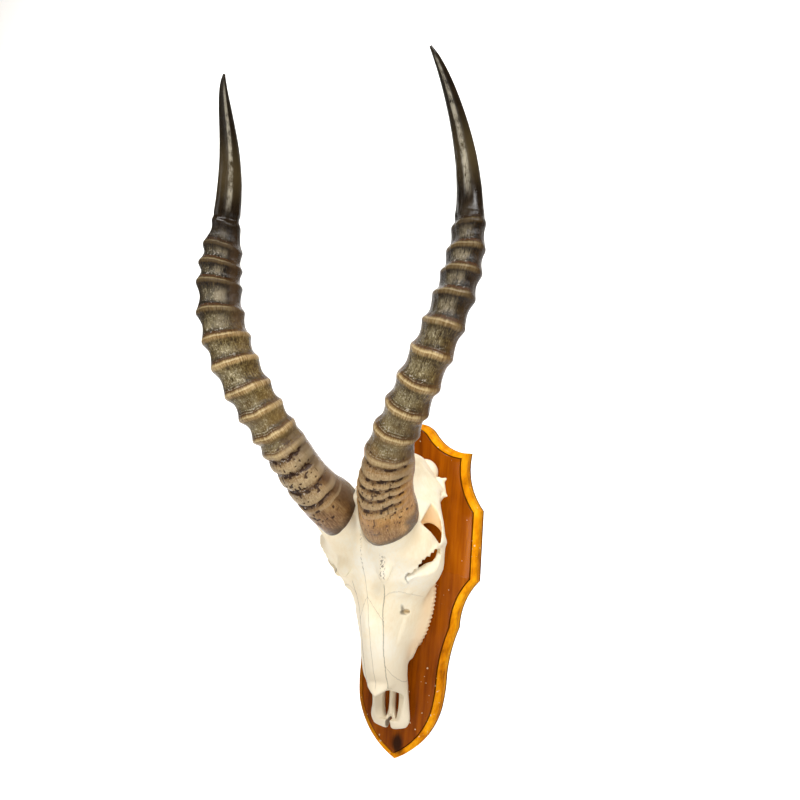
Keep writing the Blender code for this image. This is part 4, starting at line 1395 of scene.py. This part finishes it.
def ridge_field():
    """A wedge between planes, softly joined, whose walls follow the teeth."""
    rows = [list(row) for row in RIDGE_LEAD_IN]
    for _, _, width, up in tooth_places():
        rows.append([up, row_middle(up), width / 2 + RIDGE_WALL, TOOTH_NECK + GAP / MM])
    end = up + RIDGE_END
    rows.append([end, row_middle(end), RIDGE_END_WIDTH, TOOTH_NECK + GAP / MM])
    middle, half, low = (c[None, None, :] for c in read_table(rows, UP.ravel()).T)
    rise = OUT - low - 8.0
    saw = SAW_DEPTH * np.sin(UP * (2 * math.pi / SAW_PITCH)) * eased(rise, 4.0, -4.0)
    swell = (RIDGE_SWELL + saw) * eased(UP, -66.0, -50.0)
    cheek = X - middle - half - swell + 12.5 * np.clip(rise / 40.0, 0, 1)
    palate = middle - half - 4.0 * np.clip(rise / 30.0, 0, 1) - X
    ends = np.maximum(rows[0][0] - UP, UP - end)
    return overlap(cheek, palate, low - OUT, OUT - RIDGE_TOP, ends, fillet=2.5)


skull_field = join(skull_field, ridge_field(), 4.0)
print("middle of the last tooth is at", round(list(tooth_places())[-1][3], 1), "mm")

# %% [markdown]
# The bone core that carries the horn rises from the forehead. The eye lies below it: a bowl with a
# raised rim, deep inside and shallow towards its upper outer corner. Its lower inner edge is ragged,
# as thin bone is, and a hole beside that edge lets the board show through.

# %% Horn core and eye
HORN_PEDICLE = (((22.5, 96.0, 52.0), (27.5, 110.0, 64.5), (30.0, 122.0, 75.5)), (22.5, 21.5, 21.0))
ORBIT_RIM = (
    ((36.0, 86.0, 9.0), (41.0, 86.5, 17.0), (49.0, 85.5, 25.0), (57.0, 82.5, 34.0), (61.0, 78.0, 42.0),
     (59.5, 62.0, 47.0), (57.5, 47.0, 47.0)),
    (1.5, 1.8, 2.0, 2.2, 2.6, 2.4, 2.0),
)
RAGGED_EDGE = (
    (50.0, 40.1), (49.0, 36.0), (46.2, 36.1), (45.5, 31.7), (42.0, 32.1), (40.0, 28.1), (37.4, 28.6),
    (37.0, 24.3), (33.9, 23.2), (33.7, 19.2),
)
ORBIT_OUTLINE = (
    (53.8, 42.5), (52.9, 39.0), *RAGGED_EDGE, (30.2, 18.4), (27.7, 14.0), (23.4, 13.7), (20.6, 8.4),
    (24.1, 3.9), (28.8, -1.0), (37.1, 0.0), (47.0, 6.0), (53.0, 14.0), (55.8, 22.0), (56.4, 31.0),
    (55.6, 39.0),
)
ORBIT_BOWL = ((63.0, 62.5, 21.0), (39.0, 21.5, 29.0))
ORBIT_SHALLOW = (84.5, 1.05, 39.5)
EYE_HOLE = (
    (53.2, 40.0), (51.2, 32.2), (48.4, 27.6), (44.0, 26.2), (39.8, 24.0), *RAGGED_EDGE[::-1],
)


def orbit_hollow(edge):
    """The bowl, kept under a plane that falls by a set amount for each mm towards the upper outside."""
    skin, fall, start = ORBIT_SHALLOW
    plane = skin - fall * ((X + UP) / math.sqrt(2) - start) - OUT
    return overlap(overlap(plane, egg(*ORBIT_BOWL, open_out=True), fillet=8.0), edge, fillet=1.0)


eye_edge = prism(ORBIT_OUTLINE)
skull_field = join(skull_field, bar(*HORN_PEDICLE), 8.0)
skull_field = join(skull_field, bar(*ORBIT_RIM), 6.0)
skull_field = scoop(skull_field, orbit_hollow(eye_edge), 0.4)
skull_field = scoop(skull_field, prism(EYE_HOLE), 0.3)
print("inside the skull:", int((skull_field < 0).sum()), "grid points")

# %% [markdown]
# Behind the eye lies the temple's opening, where the jaw muscle passed. Its floor is a leaning plane,
# and its rear wall is arched where the bar to the cheek springs from it. The cheek arch itself is
# undercut along its inside.

# %% Temple and cheek arch
TEMPORAL_OUTLINE = (
    (46.2, 89.0), (41.4, 80.6), (37.2, 72.6), (33.2, 64.5), (34.8, 62.5), (39.5, 59.5), (44.5, 56.0),
    (50.0, 50.5), (54.6, 44.6), (55.8, 47.0), (56.2, 54.0), (55.4, 61.5), (53.4, 70.0), (50.0, 80.0),
)
TEMPORAL_FLOOR = (62.0, 46.0, 0.45)
TEMPORAL_ARCH = (42.3, 7.8, 2.6)
TEMPORAL_LEAN = 0.06
ARCH_UNDERCUT = ((56.0, 6.0, 46.0), (17.0, 27.0, 34.0))


def temple_hollow(edge):
    """Inside the edge, between a floor (up, out, slope) and an arch (x, half width, rise) across it."""
    rear, floor, slope = TEMPORAL_FLOOR
    middle, half, rise = TEMPORAL_ARCH
    x, out, _ = VIEW_SPOT
    seen = x + (X - x) * (out - OPENING_PLANE) / (out - OUT)
    arch = rear + rise - rise * np.clip((seen - middle) / half, -2, 2) ** 2
    behind = UP - arch - TEMPORAL_LEAN * (OUT - OPENING_PLANE)
    return overlap(edge, np.minimum(behind, floor + slope * (UP - rear) - OUT), fillet=2.0)


temple_edge = prism(TEMPORAL_OUTLINE)
skull_field = scoop(skull_field, temple_hollow(temple_edge), 1.5)
skull_field = scoop(skull_field, egg(*ARCH_UNDERCUT), 4.0)
print("inside the skull:", int((skull_field < 0).sum()), "grid points")

# %% [markdown]
# At the nape a sharp crest crosses the skull and runs down its sides, where it ends in small spikes.
# Under it sit the knobs, the condyles, beside the spine's opening.

# %% Nape
NUCHAL_CREST = (
    ((0.0, 66.0, 133.0), (25.0, 55.0, 127.0), (32.0, 46.0, 117.0), (36.0, 36.0, 109.0), (43.0, 22.0, 98.0)),
    (3.4, 2.8, 2.4, 2.2, 1.6),
)
NAPE_SPIKES = (
    (((37.0, 18.0, 107.0), (41.3, 18.0, 102.0), (43.0, 18.0, 94.0), (39.0, 18.0, 87.0)),
     (3.5, 3.5, 3.5, 3.0)),
    (((39.0, 18.0, 105.0), (45.0, 18.0, 108.8)), (4.0, 1.5)),
    (((42.0, 18.0, 92.5), (47.0, 18.0, 91.6)), (2.2, 1.3)),
)
CONDYLE = ((20.5, 15.0, 113.5), (14.0, 14.2, 14.5))
SPINE_OPENING = ((0.0, 28.0, 136.0), (8.5, 10.0, 25.0))

skull_field = join(skull_field, bar(*NUCHAL_CREST), 6.0)
for spike in NAPE_SPIKES:
    skull_field = join(skull_field, bar(*spike), 2.0)
skull_field = join(skull_field, egg(*CONDYLE), 1.0)
skull_field = scoop(skull_field, egg(*SPINE_OPENING), 2.0)
print("inside the skull:", int((skull_field < 0).sum()), "grid points")

# %% [markdown]
# The muzzle is two thin arms of bone round the nose's opening. Their floor is pierced by two long
# slits with a narrow bar between, and a notch parts their tips. The nasal bones overhang it all. A
# tear hole lies in front of each eye, and low bumps mark the brow and the tear bone. Last, the back
# is cut flat, a hair's breadth in front of the board.

# %% Muzzle and nose
NOSE_SLIT = ((5.9, 13.0, -121.0), (3.0, 40.0, 17.5))
NOSE_NOTCH = ((0.0, 13.0, -145.5), (2.8, 30.0, 8.0))
NOSE_BAR = (((0.0, 14.5, -96.0), (0.0, 14.0, -134.0)), (2.8, 1.6))
TEAR_HOLE = ((27.0, 60.0, -23.0), (3.6, 9.0, 2.6))
TEAR_SLIT = (((26.0, 64.0, -20.0), (23.4, 70.0, -9.0)), (1.3, 1.0))
BROW_BUMP = ((21.0, 104.0, 22.0), (7.0, 5.0, 13.0))
TEAR_BUMP = ((22.0, 71.0, -2.0), (12.0, 7.0, 3.6))
NOSE_FLOOR = 13.5
NOSE_BACK = -98.0
NOSE_END = -139.0
NOSE_HALF = 5.8
WALL_LEAN = 1.35
WALL_CLOSING = 0.12
NASAL_MIDDLE = (48.0, -101.0)
NASAL_RADIUS = 10.3
NASAL_WIDENING = 1.25
NASAL_DIP = 0.12
NASAL_POINT = -109.0
NASAL_POINT_SLOPE = 0.75
NASAL_BACK = -80.0


def nose_cavity():
    """A channel whose walls lean outwards and close in at the tip, over a flat floor."""
    lean = WALL_LEAN * np.maximum(OUT - 14.0, 0) * eased(UP, -103.0, -116.0)
    half = NOSE_HALF + lean - WALL_CLOSING * np.clip(-124.0 - UP, 0, 20)
    back = UP - NOSE_BACK + 0.25 * (57.0 - OUT)
    return overlap(X - half, NOSE_FLOOR - OUT, back, NOSE_END - UP, fillet=3.0)


def nasal_bones():
    """A wide rod that dips towards the nose and is cut to a blunt point in front."""
    out, up = NASAL_MIDDLE
    high = OUT - out + NASAL_DIP * (UP - up)
    rod = np.sqrt((X / NASAL_WIDENING) ** 2 + high ** 2) - NASAL_RADIUS
    return overlap(rod, NASAL_POINT - UP + NASAL_POINT_SLOPE * X, UP - NASAL_BACK, fillet=2.0)


skull_field = scoop(skull_field, nose_cavity(), 2.0)
skull_field = join(skull_field, nasal_bones(), 4.0)
skull_field = join(skull_field, bar(*NOSE_BAR), 1.0)
for hollow in (NOSE_SLIT, NOSE_NOTCH, TEAR_HOLE):
    skull_field = scoop(skull_field, egg(*hollow), 1.0)
for bump in (BROW_BUMP, TEAR_BUMP):
    skull_field = join(skull_field, egg(*bump), 5.0)
skull_field = overlap(skull_field, GAP / MM - OUT, fillet=1.0)
print("inside the skull:", int((skull_field < 0).sum()), "grid points")

# %% [markdown]
# Each horn sits on a core of bone that grows from the forehead up into the sheath. The bone is cut
# back where the sheath lies over it, along the sheath's own rim, and the core fills the sheath. The
# two rims differ, so from here on the left half has a field of its own.

# %% Horn seats
SEAT_SHARE = 0.01


def horn_seat(horn):
    """Two fields about the horn's root: the room that the sheath takes, and the bone core inside it."""
    _, way, outer, front = (axis[0] * (1, -1, 1) for axis in horn_axes(np.array([SEAT_SHARE])))
    start = np.array(HORN_PLACES[0]) / MM
    gap = [axis - value for axis, value in zip((X, OUT, UP), start)]
    lengths = [sum(g * np.float32(w) for g, w in zip(gap, ways)) for ways in (way, outer, front)]
    up_horn, across, ahead = lengths
    turn = np.arctan2(ahead, across)
    away = np.sqrt(across ** 2 + ahead ** 2)
    reach = (HORN_RADII[1][1] * (1 + HORN_OVAL[0][1] * np.cos(2 * (turn - OVAL_TURN)))) / MM
    rim = (HORN_ROOT * HORN_LENGTH - rim_slide(horn, turn)) / MM
    room = overlap(away - reach - 0.5, rim - 0.3 - up_horn, up_horn - 60.0, fillet=1.0)
    taper = 2.0 + 0.25 * np.maximum(up_horn, 0)
    core = overlap(away - reach + taper, up_horn - 20.0, -25.0 - up_horn, fillet=3.0)
    return room, core


def seated(horn):
    """The skull's field with a horn's room cut from it and its core filled in."""
    room, core = horn_seat(horn)
    return join(scoop(skull_field, room, 1.0), core, 1.5)


right_half, left_half = seated(RIGHT_HORN), seated(LEFT_HORN)
print("inside the halves:", int((left_half < 0).sum()), int((right_half < 0).sum()), "grid points")

# %% [markdown]
# The surface is drawn by a surface net. Each grid cell that the surface crosses gets one point, the
# average of its edge crossings, and each grid edge that the surface cuts gets a quad between its
# four cells. Two steps down the field's slope then settle the points on the true surface.

# %% Surface net
def read_grid(values, spots):
    """Values between grid points, by averaging the eight corners."""
    cell = np.clip(np.floor(spots).astype(int), 0, np.array(values.shape) - 2)
    t = spots - cell
    total = 0
    for corner in np.ndindex(2, 2, 2):
        weight = np.prod(np.where(corner, t, 1 - t), axis=1)
        total = total + weight * values[tuple((cell + corner).T)]
    return total


def surface_net(field):
    """Points (in grid steps) and quads of the surface where the field passes zero."""
    inside = field < 0
    corners = np.array(list(np.ndindex(2, 2, 2)))
    shape = np.array(field.shape) - 1
    views = [inside[tuple(slice(c, c + n) for c, n in zip(corner, shape))] for corner in corners]
    mixed = np.logical_or.reduce(views) & ~np.logical_and.reduce(views)
    cells = np.argwhere(mixed)
    values = np.stack([field[tuple((cells + c).T)] for c in corners], -1)
    points = np.zeros((len(cells), 3))
    count = np.zeros((len(cells), 1))
    for a in range(8):
        for b in range(a + 1, 8):
            if np.abs(corners[a] - corners[b]).sum() != 1:
                continue
            crossed = (values[:, a] < 0) != (values[:, b] < 0)
            t = values[:, a] / np.where(crossed, values[:, a] - values[:, b], 1)
            points += crossed[:, None] * (corners[a] + t[:, None] * (corners[b] - corners[a]))
            count += crossed[:, None]
    points = cells + points / count
    number = np.full(shape, -1)
    number[mixed] = np.arange(len(cells))
    quads = []
    for axis in range(3):
        b, c = [np.eye(3, dtype=int)[(axis + k) % 3] for k in (1, 2)]
        ahead = np.take(inside, np.arange(1, field.shape[axis]), axis)
        here = np.take(inside, np.arange(field.shape[axis] - 1), axis)
        for leaving, order in ((here & ~ahead, (0, 1, 2, 3)), (~here & ahead, (3, 2, 1, 0))):
            edges = np.argwhere(leaving)
            edges = edges[((edges - b - c) >= 0).all(axis=1) & (edges < shape).all(axis=1)]
            four = [number[tuple((edges - shift).T)] for shift in (0 * b, b, b + c, c)]
            quads.append(np.stack([four[k] for k in order], -1))
    return points, np.vstack(quads)


def settle(points, field, steps=2):
    """Moves points down the field's slope onto its zero surface."""
    slopes = np.gradient(field)
    for _ in range(steps):
        value = read_grid(field, points)
        slope = np.stack([read_grid(g, points) for g in slopes], -1)
        points = points - 0.8 * (value / np.maximum((slope ** 2).sum(axis=1), 1e-12))[:, None] * slope
    return points


whole_field = both_sides(right_half, left_half).astype(np.float32) / FIELD_STEP
net_points, net_quads = surface_net(whole_field)
net_points = settle(net_points, whole_field)
net_spots = (net_points - (X.size - 1, 0, 0)) * FIELD_STEP + (0, FIELD_OUT[0], FIELD_UP[0])
print("surface net:", len(net_points), "points,", 2 * len(net_quads), "triangles")

# %% [markdown]
# The bones of the face meet in sutures, thin lines that waver. Each is drawn from a formula for how
# far a place is from it, in millimetres, and fades out at its ends. The brow's sutures are wider and
# broken up into flecks.

# %% Seams
IN_MM = (1 / MM, 1 / MM, 1 / MM)
BROW_X = 21.0


def seams(paint, grain, clouds):
    """How dark the seams are: formulas in |x| and up, with |distance| eased to nothing at its width."""
    x, y, up = (paint.axis(name, IN_MM) for name in "XYZ")
    wave = (grain - 0.5) * 3.0 + (clouds - 0.5) * 5.0
    side = abs(x)

    def line(gap, width, dark, *limits):
        """Darkness within width of gap = 0, faded by each (value, low, high)."""
        shown = paint.step(abs(gap), width, width * 0.3) * dark
        for value, low, high in limits:
            shown = shown * paint.step(value, low, high)
        return shown

    sway = paint.step(up, -95.0, -25.0) * 1.2
    nasal = side - 11.0 - sway - paint.step(up, -26.0, 8.0) * 4.5 + wave * 0.4
    forehead = up + 8.0 + side * 1.9 + wave * 1.5
    cheek = up + 54.5 + side * 2.0 + wave
    tear = up + 1.0 + (side - 27.0) * (side - 27.0) * 0.045 + wave
    lines = (
        line(nasal, 0.60, 0.60, (up, -104.0, -98.0), (up, 7.0, 3.0), (y, -50.0, -58.0)),
        line(x + wave * 0.4, 0.5, 0.40, (up, -104.0, -98.0), (up, 40.0, 10.0), (y, -60.0, -70.0)),
        line(forehead, 0.8, 0.40, (side, 13.5, 12.0), (y, -80.0, -90.0)),
        line(cheek, 1.0, 0.35, (side, 11.0, 13.0), (y, -26.0, -34.0)),
        line(tear, 1.0, 0.22, (side, 13.0, 17.0), (y, -60.0, -68.0)),
    )
    fleck = paint.step(paint.cloud(paint.spots((1, 1, 0.6)), 640.0, 2.0), 0.52, 0.60)
    brow = line(x - BROW_X + wave * 0.6, 4.0, 0.75, (up, 10.0, 14.0), (up, 38.0, 30.0), (y, -90.0, -100.0))
    middle = line(x + wave * 0.5, 1.3, 0.45, (up, 10.0, 16.0), (up, 58.0, 50.0), (y, -90.0, -98.0))
    return sum(lines) + (brow + middle) * fleck


print("the brow's suture is", BROW_X, "mm from the middle")

# %% [markdown]
# Boiled and bleached bone is nearly white. It is creamier where clouds of fat stayed in it, painted
# darker low down as painted shade, and has fine pores and grain. Peach marks bone that kept its
# colour, and a painted shade darkens its holes and cracks.

# %% Bleached bone
BONE = ((0.34, (244, 226, 190)), (0.5, (252, 240, 212)), (0.66, (255, 250, 234)))


def bleached_bone():
    """Clouded white with painted shade low down and in hollows, pores, seams and painted shade in holes."""
    paint = Paint("bleached bone", IOR=1.5, Specular_IOR_Level=0.45)
    hollow, peach = paint.number("hollow"), paint.number("peach")
    clouds = paint.cloud(paint.spots(), 26.0, 3.0, 0.5)
    grain = paint.cloud(paint.spots((1, 1, 0.35)), 420.0, 4.0, 0.6)
    pores = paint.cloud(paint.spots(), 1300.0, 2.0, 0.6)
    seam = seams(paint, grain, clouds)
    paint.feed("Base Color", paint.coats(
        paint.ramp(clouds * 0.7 + grain * 0.3, BONE),
        # painted shade, darker towards the bottom
        (paint.step(paint.axis("Z"), -0.02, -0.10) * 0.8, (222, 210, 186)),
        (peach * 0.75, (255, 218, 168)),
        # painted shade in the hollows
        (paint.step(hollow, 0.60, 0.78) * (peach * -0.4 + 0.45), (224, 192, 142)),
        (paint.step(pores, 0.62, 0.72) * 0.08, (170, 140, 100)),
        (seam, (104, 92, 74)),
        # painted shade in the holes and cracks
        (paint.number("stain") * 0.9, (66, 52, 34)),
    ))
    paint.feed("Roughness", 0.40 + grain * 0.16)
    paint.relief(grain * 0.5 + pores * 0.3 - seam * 0.5, 0.16, 0.0006)
    return paint.material


print("darkest and brightest bone:", [round(max(tone(*colour)), 2) for _, colour in (BONE[0], BONE[-1])])

# %% [markdown]
# Bone is painted darker in hollows, as their painted shade, and stays bleached on its ridges. How deep
# a point lies in a hollow comes from the share of bone around it: the inside of the field, blurred, is
# more than a half in a hollow and less on a ridge. Peach and the painted shade of the holes come from
# the fields of the openings themselves, so they follow every edge.

# %% Skull
BLUR_ROUNDS = 5


def blurred(values, rounds):
    """Averages each grid point with its six neighbours, several times over."""
    for _ in range(rounds):
        for axis in range(3):
            values = values * 0.5 + (np.roll(values, 1, axis) + np.roll(values, -1, axis)) * 0.25
    return values


def peach_share(x, out, up):
    """The temple's walls, the jaw's edge and the condyles, where bone kept more of its colour."""
    rear, floor, slope = TEMPORAL_FLOOR
    above_floor = out - floor - slope * (up - rear)
    walls = eased(read_grid(both_sides(temple_edge), net_points), 0.5, -1.0)
    walls *= eased(above_floor, -1.6, -0.4) * eased(out, 86, 74)
    jaw = eased(out, 44, 26) * eased(up, -80, -60) * eased(up, 26, 4)
    condyles = eased(out, 40, 32) * eased(up, 97, 102) * eased(np.abs(x), 36, 32)
    return np.maximum(np.maximum(walls, 0.7 * jaw), 0.3 * condyles)


def hole_shade_share(x, out, up):
    """Painted shade in the tear hole and its slit, in the split of the eye's rim and in the muzzle's notch.
    """
    fields = egg(*TEAR_HOLE), bar(*TEAR_SLIT), egg(*NOSE_NOTCH), eye_edge
    hole, slit, notch, brink = (read_grid(both_sides(field), net_points) for field in fields)
    tear = np.maximum(eased(hole, 1.0, -0.6), 0.8 * eased(slit, 1.0, -0.6)) * eased(out, 54, 58)
    split = eased(np.abs(brink), 1.3, 0.4) * eased(up, 6, 11) * eased(up, 32, 26)
    split *= eased(np.abs(x), 42, 36) * eased(out, 60, 68)
    tip = eased(notch, 0.5, 0.0) * eased(out, 24, 20)
    return np.maximum(tear, 0.8 * np.maximum(split, tip))


def make_skull(material):
    """The net as one closed piece, with hollow, peach and the painted shade of its holes kept on it."""
    faces = net_quads[:, ::-1].tolist()
    piece = new_piece("bleached_skull", place(net_spots * MM), faces, material)
    bone = blurred((whole_field < 0).astype(np.float32), BLUR_ROUNDS)
    paint_points(piece, "hollow", read_grid(bone, net_points))
    paint_points(piece, "peach", peach_share(*net_spots.T))
    paint_points(piece, "stain", hole_shade_share(*net_spots.T))
    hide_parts("skull")
    return piece


skull = make_skull(bleached_bone())
print("skull points:", len(skull.data.vertices))

# %% [markdown]
# Each cheek tooth is a high crown. Its cheek side has upright ribs and its tongue side rounded
# lobes, one for a premolar and two for a molar. A crown is an outline, (along, across), carried from
# the worn biting face up to the neck.

# %% Teeth
CHEEK_SIDE = 0.40
CHEEK_RIB = 0.10
TONGUE_SIDE = 0.22
TONGUE_LOBE = 0.28
TOOTH_STEPS = 48
CROWN_STEPS = 16
CROWN_SWELL = (0.86, 0.12, 1.8)
CROWN_PINCH = 0.25
ENAMEL_TONES = ((0.30, (150, 110, 70)), (0.46, (226, 194, 150)), (0.65, (248, 228, 194)))


def tooth_grid(side, length, width, up, lobes):
    """Rows from the biting face to the neck; u runs along the tooth row and v across it."""
    turn = math.atan(-2 * TOOTH_ROW_BEND * (up - TOOTH_ROW_WIDEST[1]))
    t = np.linspace(0, 1, TOOTH_STEPS)
    cheek = width * (CHEEK_SIDE + CHEEK_RIB * np.abs(np.cos(2 * lobes * math.pi * t)))
    tongue = -width * (TONGUE_SIDE + TONGUE_LOBE * np.sqrt(np.abs(np.sin(lobes * math.pi * t))))
    pinch = 1 - CROWN_PINCH * np.abs(2 * t - 1) ** 6
    u = np.concatenate((t, t[::-1])) * length - length / 2
    v = np.concatenate((cheek * pinch, tongue[::-1] * pinch))
    hoops = []
    least, more, height = CROWN_SWELL
    for out in np.linspace(TOOTH_BITE, TOOTH_NECK + 2.0, CROWN_STEPS):
        swell = least + more * min(1.0, (out - TOOTH_BITE) / height) ** 0.5
        x = row_middle(up) + (v * math.cos(turn) + u * math.sin(turn)) * swell
        z = up + (u * math.cos(turn) - v * math.sin(turn)) * swell
        hoops.append(place(np.column_stack((side * x, np.full(len(x), out), z)) * MM))
    return np.array(hoops)


def tooth_enamel():
    """Cream enamel with brown stain in stripes, under a thin gloss."""
    paint = Paint("tooth enamel", IOR=1.6, Coat_Weight=0.3, Coat_Roughness=0.15)
    stain = paint.cloud(paint.spots((1, 0.3, 1)), 260.0, 4.0)
    paint.feed("Base Color", paint.ramp(stain, ENAMEL_TONES))
    paint.feed("Roughness", 0.3 + stain * 0.2)
    paint.relief(stain, 0.2, 0.0005)
    return paint.material


ENAMEL = tooth_enamel()
for side, hand in ((1, "right"), (-1, "left")):
    for name, length, width, up in tooth_places():
        grid = tooth_grid(side, length, width, up, 2 if name.startswith("molar") else 1)
        tooth = hoops_to_piece(f"tooth_{name}_{hand}", grid, ENAMEL, flip=side < 0)
        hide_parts(f"{name}_{hand}")
print("teeth:", 2 * len(TEETH))

# %% [markdown]
# The fixings at the back are plain bought parts: a keyhole hanger, its two short screws and two
# long ones into the skull. The packed solids have their real shape, so they only get the finish,
# zinc plate with a faint yellow pass and the fine scratches of a screwdriver.

# %% Zinc plate
FIXINGS = ("skull_screw_upper", "skull_screw_lower", "hanger_plate", "hanger_screw_upper",
           "hanger_screw_lower")
ZINC_TONES = ((0.35, (176, 170, 150)), (0.65, (214, 212, 204)))


def zinc_plate():
    """Dull grey metal with a yellow cast and fine scratches."""
    paint = Paint("zinc plate", Metallic=1.0)
    clouds = paint.cloud(paint.spots(), 160.0, 3.0)
    scratches = paint.cloud(paint.spots((1, 1, 0.08)), 1500.0, 2.0)
    paint.feed("Base Color", paint.ramp(clouds, ZINC_TONES))
    paint.feed("Roughness", 0.26 + scratches * 0.2)
    paint.relief(scratches, 0.1, 0.0002)
    return paint.material


ZINC = zinc_plate()
for name in FIXINGS:
    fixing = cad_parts[name]
    fixing.data.materials.clear()
    fixing.data.materials.append(ZINC)
print("fixings:", len(FIXINGS))

# %% [markdown]
